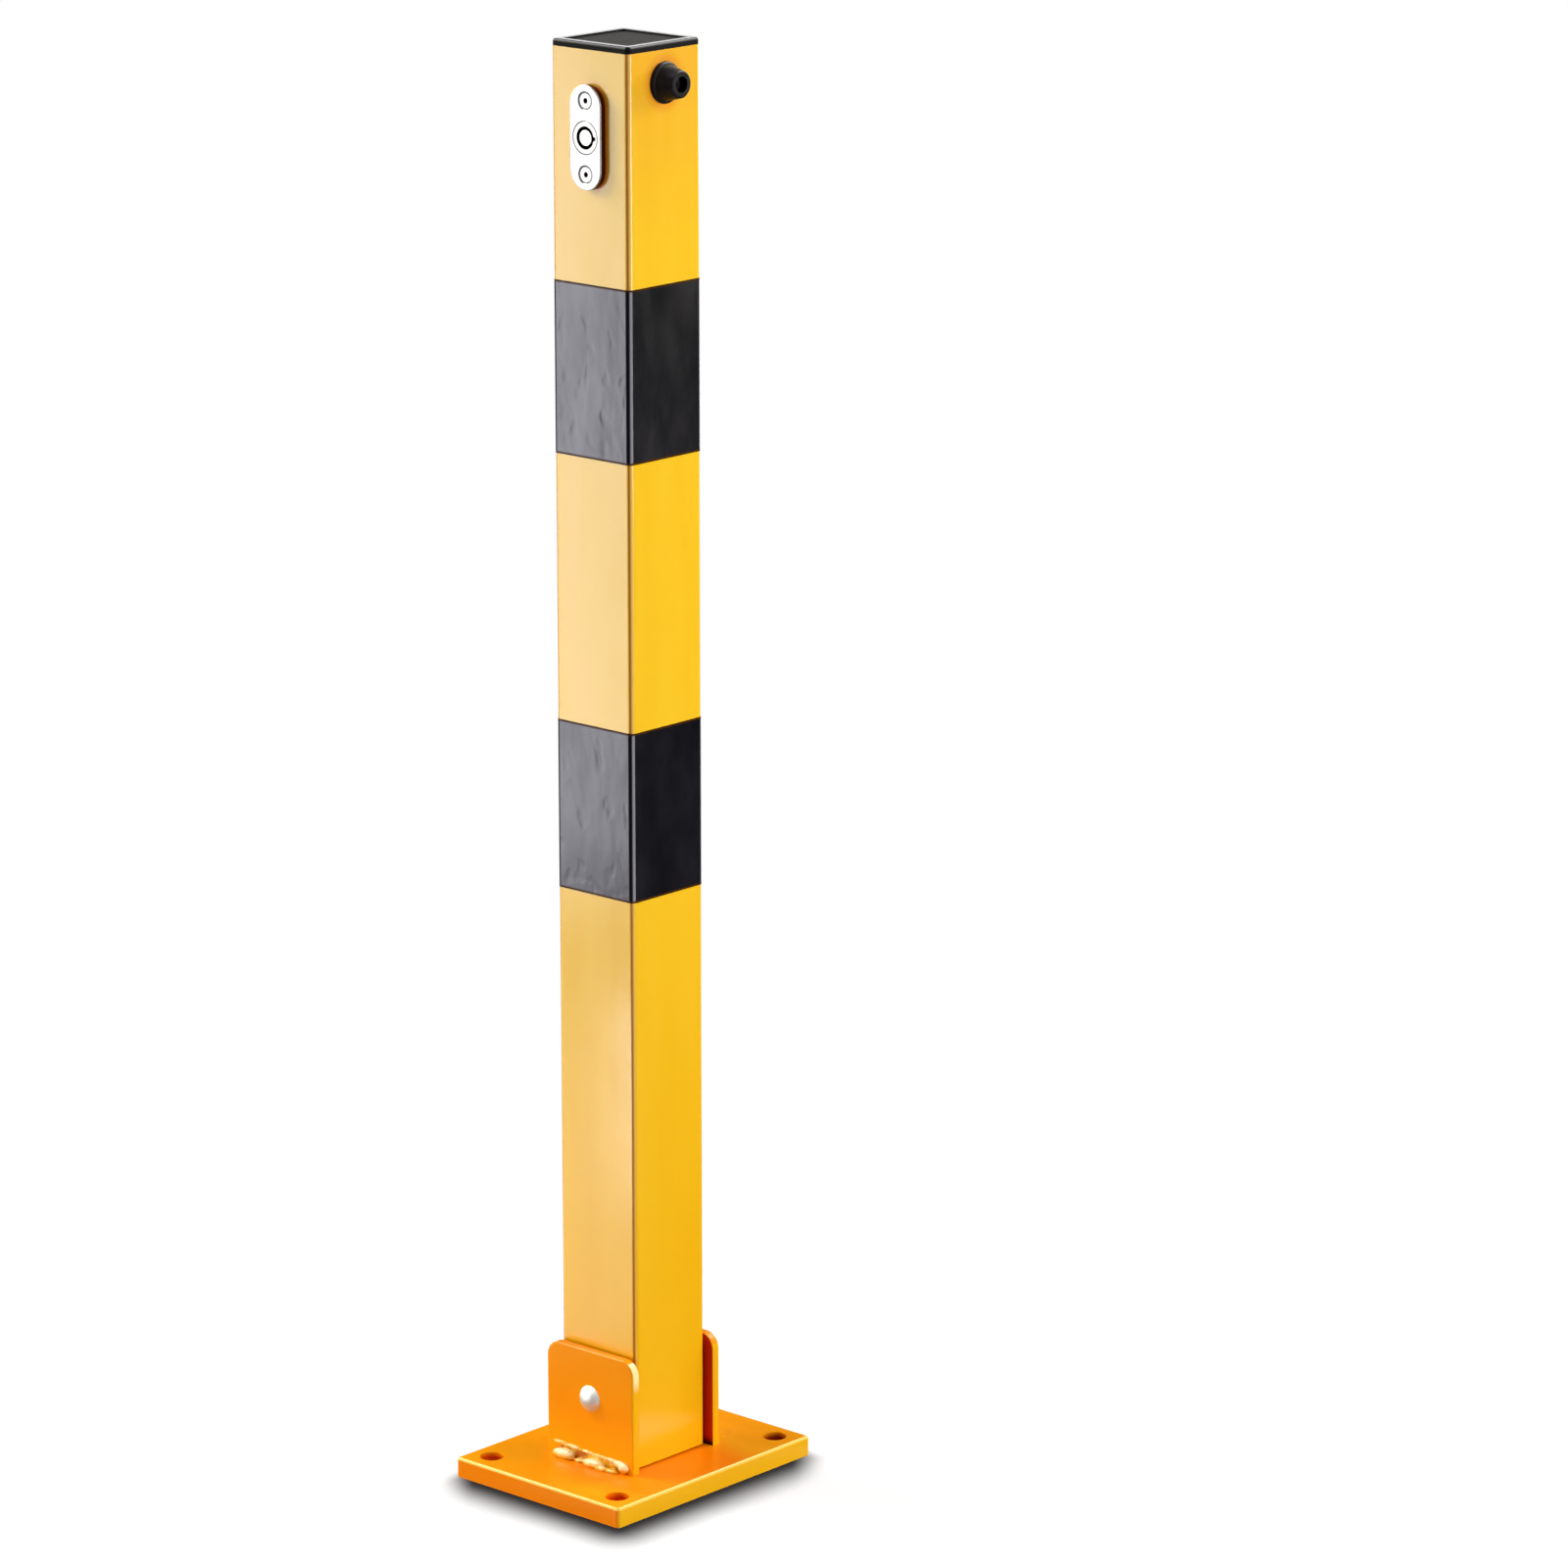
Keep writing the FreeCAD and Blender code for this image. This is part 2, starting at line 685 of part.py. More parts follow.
# Lock barrel: its nose fills the plate's hole, its flange sits behind the plate, and its round
# keyway has a notch towards the bumper's side
def make_lock_body():
    body = new_body("lock_body")
    profile = sketch_on(body, "YZ_Plane")
    back_wall = "(%s - lock_back_wall)" % LOCK_BACK
    outline(profile, [
        ("-lock_plate_thickness", "keyway_diameter / 2"),
        ("-lock_plate_thickness", "lock_diameter / 2 - lock_nose_chamfer"),
        ("lock_nose_chamfer - lock_plate_thickness", "lock_diameter / 2"),
        ("-lock_flange_thickness", "lock_diameter / 2"),
        ("-lock_flange_thickness", LOCK_FLANGE + " / 2"),
        ("0", LOCK_FLANGE + " / 2"),
        ("0", "lock_diameter / 2"),
        (LOCK_BACK, "lock_diameter / 2"),
        (LOCK_BACK, "spindle_diameter / 2 + plug_running_fit"),
        (back_wall, "spindle_diameter / 2 + plug_running_fit"),
        (back_wall, "keyway_diameter / 2"),
    ])
    revolve(body, profile, "H_Axis")
    notch = sketch_on(body, "XZ_Plane", "lock_plate_thickness")
    rectangle(notch, "keyway_post / 2", "-keyway_notch_width / 2",
              "keyway_diameter / 2 + keyway_notch_depth", "keyway_notch_width / 2")
    pocket(body, notch, "keyway_depth")
    place(body, y="-" + HALF_TUBE, z=LOCK_Z)
    return body


# Nut that clamps the barrel to the tube's wall
def make_lock_nut():
    body = make_nut("lock_nut", "lock_nut_flats", "lock_diameter + 2 * thread_fit",
                    "lock_nut_thickness", "XZ_Plane")
    place(body, y="lock_nut_thickness + tube_wall - " + HALF_TUBE, z=LOCK_Z)
    return body


# Lock core: the keyway's centre post, the drum behind it, and a spindle with a square end
def make_lock_plug():
    body = new_body("lock_plug")
    profile = sketch_on(body, "YZ_Plane")
    front = "(keyway_recess - lock_plate_thickness)"
    drum_front = "(keyway_depth - lock_plate_thickness)"
    drum_back = "(%s - lock_back_wall - plug_running_fit)" % LOCK_BACK
    drum_radius = "(keyway_diameter / 2 - plug_running_fit)"
    outline(profile, [
        (front, "0"),
        (front, "keyway_post / 2"),
        (drum_front, "keyway_post / 2"),
        (drum_front, drum_radius),
        (drum_back, drum_radius),
        (drum_back, "spindle_diameter / 2"),
        (CAM_FRONT, "spindle_diameter / 2"),
        (CAM_FRONT, "0"),
    ])
    revolve(body, profile, "H_Axis")
    square = sketch_on(body, "XZ_Plane", "-" + CAM_FRONT)
    half_square = "(spindle_square / 2)"
    rectangle(square, "-" + half_square, "-" + half_square, half_square, half_square)
    pad(body, square, "cam_thickness", backwards=True)
    screw_hole = sketch_on(body, "XZ_Plane", "-" + CAM_BACK)
    circle(screw_hole, "cam_screw_diameter + 2 * thread_fit")
    pocket(body, screw_hole, "cam_screw_length", backwards=True)
    place(body, y="-" + HALF_TUBE, z=LOCK_Z)
    return body


# Cam: flat steel arm on the square end, hanging down while the lock is open
def make_lock_cam():
    body = new_body("lock_cam")
    blank = sketch_on(body, "XZ_Plane")
    half_width = "(cam_width / 2)"
    outline(blank, [
        (half_width, "-" + CAM_REACH),
        (half_width, "0", half_width, 1),
        ("0", half_width, half_width, 1),
        ("-" + half_width, "0"),
        ("-" + half_width, "-" + CAM_REACH),
    ])
    half_hole = "(spindle_square / 2 + spindle_fit)"
    rectangle(blank, "-" + half_hole, "-" + half_hole, half_hole, half_hole)
    pad(body, blank, "cam_thickness")
    place(body, y="%s - %s" % (CAM_BACK, HALF_TUBE), z=LOCK_Z)
    return body


# Screw that holds the cam on the core
def make_cam_screw():
    body = new_body("cam_screw")
    profile = sketch_on(body, "YZ_Plane")
    outline(profile, [
        ("-cam_screw_length", "0"),
        ("-cam_screw_length", "cam_screw_diameter / 2"),
        ("0", "cam_screw_diameter / 2"),
        ("0", "cam_screw_head / 2"),
        ("cam_screw_height", "cam_screw_head / 2"),
        ("cam_screw_height", "0"),
    ])
    revolve(body, profile, "H_Axis")
    place(body, y="%s - %s" % (CAM_BACK, HALF_TUBE), z=LOCK_Z)
    return body


# Bumper: tapered rubber foot with a short rim, a rounded nose and a deep recess for its screw
def make_bumper():
    body = new_body("bumper")
    profile = sketch_on(body, "XZ_Plane")
    bore = "(bumper_screw_diameter / 2 + screw_fit)"
    recess = "(bumper_screw_head / 2 + bumper_recess_gap)"
    outline(profile, [
        ("0", bore),
        ("0", "bumper_base / 2"),
        ("bumper_rim - bumper_rim_round", "bumper_base / 2", "bumper_rim_round", -1),
        ("bumper_rim", "bumper_base / 2 - bumper_rim_round"),
        ("bumper_height - bumper_round", "bumper_nose / 2", "bumper_round", -1),
        ("bumper_height", "bumper_nose / 2 - bumper_round"),
        ("bumper_height", recess),
        ("bumper_floor", recess),
        ("bumper_floor", bore),
    ])
    revolve(body, profile, "H_Axis")
    place(body, x=HALF_TUBE, z=BUMPER_Z)
    return body


# Bumper screw: pan head at the bottom of the recess, shank through the tube's wall
def make_bumper_screw():
    body = new_body("bumper_screw")
    tail = "-(tube_wall + bumper_nut_thickness + bumper_screw_tip)"
    head_top = "(bumper_floor + bumper_screw_height)"
    profile = sketch_on(body, "XZ_Plane")
    outline(profile, [
        (tail, "0"),
        (tail, "bumper_screw_diameter / 2"),
        ("bumper_floor", "bumper_screw_diameter / 2"),
        ("bumper_floor", "bumper_screw_head / 2"),
        (head_top, "bumper_screw_head / 2"),
        (head_top, "0"),
    ])
    revolve(body, profile, "H_Axis")
    socket = sketch_on(body, "YZ_Plane", head_top)
    hexagon(socket, "bumper_screw_socket")
    pocket(body, socket, "bumper_screw_socket_depth")
    place(body, x=HALF_TUBE, z=BUMPER_Z)
    return body


# Nut on the bumper's screw, inside the tube
def make_bumper_nut():
    body = make_nut("bumper_nut", "bumper_nut_flats", "bumper_screw_diameter + 2 * thread_fit",
                    "bumper_nut_thickness", "YZ_Plane")
    place(body, x=HALF_BORE + " - bumper_nut_thickness", z=BUMPER_Z)
    return body


pieces = [
    make_base_plate(),
    make_ear("front_ear", "-" + EAR_INSIDE),
    make_ear("rear_ear", EAR_OUTSIDE),
    make_weld("front_ear_weld", "-" + EAR_OUTSIDE, 1),
    make_weld("rear_ear_weld", EAR_OUTSIDE, -1),
    make_hinge_pin(),
    make_hinge_washers(),
    make_hinge_eye(),
    make_lift_bar(),
    make_lift_stop(),
    make_lock_catch(),
    make_catch_nut(),
    make_post_tube(),
    make_top_cap(),
    make_band("upper_band", UPPER_BAND_Z),
    make_band("lower_band", LOWER_BAND_Z),
    make_bar_guide(),
    make_lock_plate(),
    make_lock_screws(),
    make_lock_body(),
    make_lock_nut(),
    make_lock_plug(),
    make_lock_cam(),
    make_cam_screw(),
    make_bumper(),
    make_bumper_screw(),
    make_bumper_nut(),
]
doc.recompute()

# Every object has to be sound before any file is written
for item in doc.Objects:
    if "Invalid" in item.State or "Error" in item.State:
        raise RuntimeError("%s failed: %s" % (item.Label, item.State))
for piece in pieces:
    if piece.Shape.isNull() or not piece.Shape.isValid() or not piece.Shape.Solids:
        raise RuntimeError("%s has no valid solid" % piece.Label)

os.makedirs("parts", exist_ok=True)
for piece in pieces:
    piece.Shape.exportStep("parts/%s.step" % piece.Label)
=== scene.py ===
import math

import bpy
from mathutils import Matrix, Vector


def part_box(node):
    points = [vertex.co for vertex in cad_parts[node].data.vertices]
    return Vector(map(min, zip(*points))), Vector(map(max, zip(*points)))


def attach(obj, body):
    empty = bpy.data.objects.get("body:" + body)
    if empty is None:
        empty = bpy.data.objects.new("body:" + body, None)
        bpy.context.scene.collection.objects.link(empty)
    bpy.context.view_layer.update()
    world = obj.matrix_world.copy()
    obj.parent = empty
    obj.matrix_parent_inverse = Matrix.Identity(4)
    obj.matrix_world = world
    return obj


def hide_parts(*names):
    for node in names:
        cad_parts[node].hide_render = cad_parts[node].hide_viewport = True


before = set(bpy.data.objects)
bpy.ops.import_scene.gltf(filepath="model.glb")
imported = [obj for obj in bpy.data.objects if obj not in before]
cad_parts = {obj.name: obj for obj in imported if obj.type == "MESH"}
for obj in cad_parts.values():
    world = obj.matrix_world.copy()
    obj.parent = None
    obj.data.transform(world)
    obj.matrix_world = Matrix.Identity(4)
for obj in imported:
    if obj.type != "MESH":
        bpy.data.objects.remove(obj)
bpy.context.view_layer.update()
bpy.ops.object.select_all(action="DESELECT")

# Base plate: flat steel with a hole near each corner, bolted to the ground. It is powder coated in
# one go with its lugs, in a glossy amber with a fine orange peel. Light and shade are painted into
# the coat: yellower painted light on the sides facing the bumper's way and the opposite way, a pale
# painted highlight along the top edges, deeper orange painted shade on the sides facing the lock's
# way and the back, a redder painted shade and reflection of the post on the bumper's side, darker
# painted shade to the rear, and painted shade down in the holes.
PLATE_DEEP = (0.97, 0.34, 0.001, 1)
PLATE_LIGHT = (1.0, 0.41, 0.002, 1)
# Painted shade and reflection of the post.
PLATE_POST_SHADE = (0.98, 0.25, 0.0008, 1)
PLATE_BACK_SHADE = (0.80, 0.29, 0.002, 1)
PLATE_GLOSS = 0.16
# Yellower painted light, for the cut ends and for the weld's lit amber.
AMBER_LIT = (0.88, 0.44, 0.004, 1)
AMBER_SHADED_SIDE = (1.0, 0.25, 0.001, 1)
AMBER_HIGHLIGHT = (1.0, 0.58, 0.08, 1)
HOLE_SHADE = (0.80, 0.085, 0.001, 1)
REAR_HOLE_SHADE = (0.30, 0.025, 0.001, 1)
AMBER_ROUGHNESS = (0.20, 0.28)
COAT_CLOUD_SCALE = 22
COAT_PEEL_SCALE = 520
COAT_PEEL_DETAIL = 3
COAT_PEEL_DEPTH = 0.00004
COAT_SWELL_SCALE = 55
COAT_SWELL_DEPTH = 0.00012
EDGE_DEPTH = 0.0008
HIGHLIGHT_DEPTH = 0.0015
HIGHLIGHT_SHARE = (0.05, 0.20)
WARM_ACROSS = (-0.018, 0.002)
WARM_FRONT = (-0.060, -0.045)
WARM_FRONT_LEAST = 0.3
WARM_BACK = (0.018, 0.036)
BACK_FROM = (0.040, 0.060)
HOLE_PLACE = (0.0425, 0.0575, 0)
HOLE_RIM = (0.00606, 0.00630)
HOLE_DARK_DEPTH = 0.0025
HOLE_PALE_DEPTH = 0.0002
plate_low, plate_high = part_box("base_plate")


def new_finish(name):
    """A material with nothing in it but its shader."""
    finish = bpy.data.materials.new(name)
    finish.use_nodes = True
    return finish


def feed(finish, socket, source):
    """Gives a socket a plain value, or links another node's output to it."""
    if isinstance(source, bpy.types.NodeSocket):
        finish.node_tree.links.new(source, socket)
    else:
        socket.default_value = source


def set_shader(finish, inputs):
    """Feeds the finish's own shader, by the names of its inputs, and returns the shader."""
    shader = finish.node_tree.nodes["Principled BSDF"]
    for name, source in inputs.items():
        feed(finish, shader.inputs[name], source)
    return shader


def add_node(finish, kind, inputs=None, **settings):
    """Adds a node to a finish, sets it and feeds its inputs."""
    node = finish.node_tree.nodes.new("ShaderNode" + kind)
    for name, setting in settings.items():
        setattr(node, name, setting)
    for socket, source in (inputs or {}).items():
        feed(finish, node.inputs[socket], source)
    return node


def reckon(finish, operation, first, second=0.0):
    """One step of arithmetic with numbers."""
    return add_node(finish, "Math", {0: first, 1: second}, operation=operation).outputs[0]


def reckon_vector(finish, operation, first, second=(0, 0, 0)):
    """One step of arithmetic with vectors, which gives a vector or a number."""
    node = add_node(finish, "VectorMath", {0: first, 1: second}, operation=operation)
    gives_number = operation in ("LENGTH", "DISTANCE", "DOT_PRODUCT")
    return node.outputs["Value" if gives_number else "Vector"]


def times(finish, first, second):
    return reckon(finish, "MULTIPLY", first, second)


def size_of(finish, number):
    return reckon(finish, "ABSOLUTE", number)


def grain(finish, scale, detail=2.0, stretch=(1, 1, 1)):
    """A cloudy pattern fixed to the object, from 0 to 1, drawn out where stretch is small."""
    place = add_node(finish, "TexCoord").outputs["Object"]
    mapped = add_node(finish, "Mapping", {"Vector": place, "Scale": stretch}).outputs[0]
    return add_node(finish, "TexNoise", {"Vector": mapped, "Scale": scale, "Detail": detail}).outputs["Fac"]


def ramp(finish, mask, low, high, start=0.3, end=0.7):
    """A colour that goes from low to high as the mask goes from start to end."""
    node = add_node(finish, "ValToRGB", {"Fac": mask})
    first, last = node.color_ramp.elements
    first.position, first.color = start, low
    last.position, last.color = end, high
    return node.outputs["Color"]


def spread(finish, mask, low, high, start=0.3, end=0.7):
    """A number that goes from low to high as the mask goes from start to end."""
    node = add_node(finish, "MapRange", {"Value": mask, "From Min": start, "From Max": end,
                                         "To Min": low, "To Max": high})
    return node.outputs["Result"]


def rising(finish, number, start, end):
    """A mask that goes from 0 at start to 1 at end."""
    return spread(finish, number, 0, 1, start, end)


def falling(finish, number, start, end):
    """A mask that goes from 1 at start to 0 at end."""
    return spread(finish, number, 1, 0, start, end)


def over(finish, mask, below, above, blend="MIX"):
    """One colour laid over another where the mask is 1."""
    node = add_node(finish, "Mix", data_type="RGBA", blend_type=blend)
    feed(finish, node.inputs["Factor"], mask)
    feed(finish, node.inputs[6], below)
    feed(finish, node.inputs[7], above)
    return node.outputs[2]


def spot(finish):
    """Where a point of the object lies, as a vector, and its X, Y and Z apart."""
    place = add_node(finish, "TexCoord").outputs["Object"]
    axes = add_node(finish, "SeparateXYZ", {"Vector": place})
    return place, axes.outputs["X"], axes.outputs["Y"], axes.outputs["Z"]


def relief(finish, height, depth, below=None):
    """A surface relief of that depth in metres, laid over another one where that is given."""
    node = add_node(finish, "Bump", {"Height": height, "Distance": depth, "Strength": 1.0})
    if below is not None:
        feed(finish, node.inputs["Normal"], below)
    return node.outputs["Normal"]


def coat_relief(finish):
    """The orange peel of a powder coat, over a slow swell of the steel below."""
    swell = relief(finish, grain(finish, COAT_SWELL_SCALE), COAT_SWELL_DEPTH)
    return relief(finish, grain(finish, COAT_PEEL_SCALE, COAT_PEEL_DETAIL), COAT_PEEL_DEPTH, swell)


def near_end(finish, number, end):
    """A mask that is 1 on the cut edges, which lie at +-end."""
    return rising(finish, size_of(finish, number), end - EDGE_DEPTH, end - EDGE_DEPTH / 2)


def amber_finish(name, deep, light, gloss, end_edge):
    """The amber coat, with its colour so far, for a piece whose cut edges lie at +-end_edge in X and carry a
    yellower painted light.
    """
    finish = new_finish(name)
    cloud = grain(finish, COAT_CLOUD_SCALE)
    set_shader(finish, {"Roughness": spread(finish, cloud, *AMBER_ROUGHNESS),
                        "Specular IOR Level": gloss,
                        "Normal": coat_relief(finish)})
    # The cut ends get a yellower painted light.
    lit_end = near_end(finish, spot(finish)[1], end_edge)
    return finish, over(finish, lit_end, ramp(finish, cloud, deep, light), AMBER_LIT)


def dress(finish, *nodes):
    """Gives CAD nodes a finish."""
    for name in nodes:
        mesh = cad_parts[name].data
        mesh.materials.clear()
        mesh.materials.append(finish)


plate_coat, colour = amber_finish("plate_powder_coat", PLATE_DEEP, PLATE_LIGHT, PLATE_GLOSS, plate_high.x)
place, across, along, rise = spot(plate_coat)
# Painted shade down in the holes: deep red below the rim, darker still in the rear holes.
from_centre = reckon_vector(plate_coat, "ABSOLUTE", place)
to_hole = reckon_vector(plate_coat, "SUBTRACT", from_centre, HOLE_PLACE)
flat_to_hole = reckon_vector(plate_coat, "MULTIPLY", to_hole, (1, 1, 0))
from_hole = reckon_vector(plate_coat, "LENGTH", flat_to_hole)
in_hole = falling(plate_coat, from_hole, *HOLE_RIM)
depth = falling(plate_coat, rise, plate_high.z - HOLE_DARK_DEPTH, plate_high.z - HOLE_PALE_DEPTH)
back = rising(plate_coat, along, *BACK_FROM)
hole_shade = over(plate_coat, back, HOLE_SHADE, REAR_HOLE_SHADE)

off_edge = falling(plate_coat, across, plate_high.x - EDGE_DEPTH, plate_high.x - EDGE_DEPTH / 2)
# Painted shade and reflection of the post: redder on the bumper's side, fading towards the front and back.
post_shade_along = times(plate_coat, falling(plate_coat, along, *WARM_BACK),
                   spread(plate_coat, along, WARM_FRONT_LEAST, 1, *WARM_FRONT))
post_shade = times(plate_coat, rising(plate_coat, across, *WARM_ACROSS), post_shade_along)
post_shaded = over(plate_coat, times(plate_coat, post_shade, off_edge), colour, PLATE_POST_SHADE)
# Painted shade: the rear of the plate is darker.
back_shaded = over(plate_coat, times(plate_coat, back, off_edge), post_shaded, PLATE_BACK_SHADE)
# Painted shade: the sides facing the lock's way and the back are a deeper orange.
side_shaded = over(plate_coat, near_end(plate_coat, along, plate_high.y), back_shaded, AMBER_SHADED_SIDE)

# A pale painted highlight along the rounded top edges.
far_across = rising(plate_coat, size_of(plate_coat, across), plate_high.x - HIGHLIGHT_DEPTH, plate_high.x)
far_along = rising(plate_coat, size_of(plate_coat, along), plate_high.y - HIGHLIGHT_DEPTH, plate_high.y)
rim = reckon(plate_coat, "MAXIMUM", far_across, far_along)
top = rising(plate_coat, rise, plate_high.z - HIGHLIGHT_DEPTH, plate_high.z)
edge_highlight = times(plate_coat, rising(plate_coat, rim, *HIGHLIGHT_SHARE), rising(plate_coat, top, *HIGHLIGHT_SHARE))
edge_highlighted = over(plate_coat, edge_highlight, side_shaded, AMBER_HIGHLIGHT)
set_shader(plate_coat, {"Base Color": over(plate_coat, times(plate_coat, in_hole, depth), edge_highlighted, hole_shade)})
dress(plate_coat, "base_plate")

# Lugs: two steel plates on edge, welded upright on the base plate with the post between them.
# They carry the hinge pin and have the plate's own coat, with painted light: yellower on their cut
# ends and low down, where the plate throws light up, and a pale highlight on the front lug's upper
# end corner. Painted shade darkens their inner faces in the narrow gap beside the post, most at the foot.
LUG_DEEP = (0.98, 0.30, 0.0008, 1)
LUG_LIGHT = (1.0, 0.345, 0.001, 1)
LUG_GLOSS = 0.09
LUG_BOUNCE_LIGHT = (1.0, 0.40, 0.001, 1)
LUG_HIGHLIGHT = (1.0, 0.80, 0.36, 1)
FOOT_HEIGHTS = (0.012, 0.036)
LUG_HIGHLIGHT_HEIGHTS = (0.052, 0.058)
LUG_HIGHLIGHT_FROM = 0.0258
FACE_ROUND = 0.0008
INNER_SHADE = (0.55, 0.022, 0.002, 1)
INNER_DEPTH = 0.0004
INNER_FOOT_SHADE = (0.03, 0.002, 0.001, 1)
INNER_HEIGHTS = (0.0110, 0.0145)
lug_low, lug_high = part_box("rear_ear")
lug_coat, colour = amber_finish("lug_powder_coat", LUG_DEEP, LUG_LIGHT, LUG_GLOSS, lug_high.x)
across, along, rise = spot(lug_coat)[1:]
far_across = size_of(lug_coat, across)
far_along = size_of(lug_coat, along)
# Painted light: yellower low down, where the plate throws light up onto the lugs.
low = falling(lug_coat, rise, *FOOT_HEIGHTS)
off_end = falling(lug_coat, far_across, lug_high.x - EDGE_DEPTH, lug_high.x - EDGE_DEPTH / 2)
bounce_lit = over(lug_coat, times(lug_coat, low, off_end), colour, LUG_BOUNCE_LIGHT)

# A pale painted highlight on the front lug's upper end corner.
high = rising(lug_coat, rise, *LUG_HIGHLIGHT_HEIGHTS)
on_corner = rising(lug_coat, far_across, LUG_HIGHLIGHT_FROM - FACE_ROUND, LUG_HIGHLIGHT_FROM)
off_face = falling(lug_coat, far_along, lug_high.y - FACE_ROUND, lug_high.y - FACE_ROUND / 2)
on_front = falling(lug_coat, along, -lug_low.y, lug_low.y)
lug_highlight = times(lug_coat, times(lug_coat, high, on_corner), times(lug_coat, off_face, on_front))
coat = over(lug_coat, lug_highlight, bounce_lit, LUG_HIGHLIGHT)

# Painted shade on the inner faces in the gap beside the post, darkest at the foot.
inner = falling(lug_coat, far_along, lug_low.y + INNER_DEPTH / 2, lug_low.y + INNER_DEPTH)
inner_shade = over(lug_coat, falling(lug_coat, rise, *INNER_HEIGHTS), INNER_SHADE, INNER_FOOT_SHADE)
set_shader(lug_coat, {"Base Color": over(lug_coat, inner, coat, inner_shade)})
dress(lug_coat, "front_ear", "rear_ear")

# Welds: a short fillet weld along each lug's foot, laid by hand in a few thick drops below a
# rounded toe line on the lug. They are coated over; a pale painted highlight lies on the drops, and
# painted shade darkens the crease between and the skirt at the plate. Each is shaped from drops melted into
# one bead.
WELD_HIGHLIGHT = (1.0, 0.86, 0.46, 1)
WELD_PIT = (0.32, 0.30, 0.27, 1)
WELD_CREASE_SHADE = (0.50, 0.13, 0.001, 1)
WELD_GLOSS = 0.20
WELD_ROUGHNESS = (0.26, 0.42)
WELD_GRAIN = 0.0003
WELD_SMOOTHING = 9
WELD_SMOOTH_FACTOR = 0.5
WELD_SINK = 0.0008
DROP_SEGMENTS = 32
DROP_RINGS = 20
SKIRT_HEIGHT = 0.0034
SKIRT_SHADE_TONE = 0.22
CREASE_TONE = 0.08
AMBER_TONE = 0.5
HIGHLIGHT_TONE = 0.95
TONE_NEAREST = 0.1
TONE_FALL = -8
PATCH_SCALE = 300
PATCH_TONE = 0.22
PIT_SCALE = 420
PIT_DETAIL = 3
PIT_FROM = (0.66, 0.72)
PIT_DEPTH = 0.00008
# Each drop has its place along the lug, its reach out from the lug, its height above the plate,
# its half sizes along, out and up, in metres, and its tone, from painted shade at 0 to a pale painted
# highlight at 1.
WELD_DROPS = [
    (-0.0148, 0.0034, 0.0016, 0.0072, 0.0028, 0.0030, 1.00),
    (-0.0045, 0.0026, 0.0003, 0.0040, 0.0018, 0.0014, 0.65),
    (0.0054, 0.0034, 0.0013, 0.0074, 0.0026, 0.0025, 1.00),
    (0.0112, 0.0041, 0.0006, 0.0048, 0.0021, 0.0016, 0.95),
    (0.0172, 0.0034, 0.0004, 0.0046, 0.0020, 0.0015, 0.66),
    (-0.0120, 0.0002, 0.0014, 0.0112, 0.0011, 0.0044, 0.05),
    (0.0085, 0.0002, 0.0012, 0.0150, 0.0011, 0.0040, 0.34),
]
TOE_DROPS = [
    (-0.0195, 0.0002, 0.0063, 0.0050, 0.0013, 0.0010, 0.60),
    (-0.0120, 0.0002, 0.0058, 0.0062, 0.0013, 0.0010, 0.66),
    (-0.0030, 0.0002, 0.0053, 0.0066, 0.0012, 0.0009, 0.58),
    (0.0065, 0.0002, 0.0050, 0.0066, 0.0012, 0.0010, 0.60),
    (0.0150, 0.0003, 0.0049, 0.0056, 0.0014, 0.0011, 0.72),
    (0.0205, 0.0006, 0.0043, 0.0038, 0.0018, 0.0017, 1.00),
    (0.0235, 0.0009, 0.0028, 0.0031, 0.0022, 0.0027, 1.00),
]


def cut_off(piece, point, outward):
    """Cuts a closed piece at a plane, keeps the side that is not outward, and closes it."""
    bpy.context.view_layer.objects.active = piece
    bpy.ops.object.mode_set(mode="EDIT")
    bpy.ops.mesh.select_all(action="SELECT")
    bpy.ops.mesh.bisect(plane_co=point, plane_no=outward, use_fill=True, clear_outer=True)
    bpy.ops.object.mode_set(mode="OBJECT")


def name_piece(piece, name):
    piece.name = name
    piece.data.name = name


def set_in_place(piece):
    """Makes a piece's place, turn and scale part of its mesh."""
    bpy.context.view_layer.objects.active = piece
    bpy.ops.object.transform_apply(location=True, rotation=True, scale=True)


def add_drop(along, out, up, half_along, half_out, half_up):
    """One drop of weld metal that runs a little into the front lug and the plate."""
    bpy.ops.mesh.primitive_uv_sphere_add(segments=DROP_SEGMENTS, ring_count=DROP_RINGS, radius=1)
    drop = bpy.context.object
    drop.scale = (half_along, half_out, half_up)
    drop.location = (along, -lug_high.y - out, plate_high.z + up)
    set_in_place(drop)
    cut_off(drop, (0, WELD_SINK - lug_high.y, 0), (0, 1, 0))
    cut_off(drop, (0, 0, plate_high.z - WELD_SINK), (0, 0, -1))
    return drop


def select_only(pieces):
    bpy.ops.object.select_all(action="DESELECT")
    for piece in pieces:
        piece.select_set(True)
    bpy.context.view_layer.objects.active = pieces[0]


def apply_modifier(piece, kind, **settings):
    """Adds a modifier, sets it and applies it."""
    modifier = piece.modifiers.new(kind.lower(), kind)
    for name, setting in settings.items():
        setattr(modifier, name, setting)
    bpy.context.view_layer.objects.active = piece
    bpy.ops.object.modifier_apply(modifier=modifier.name)


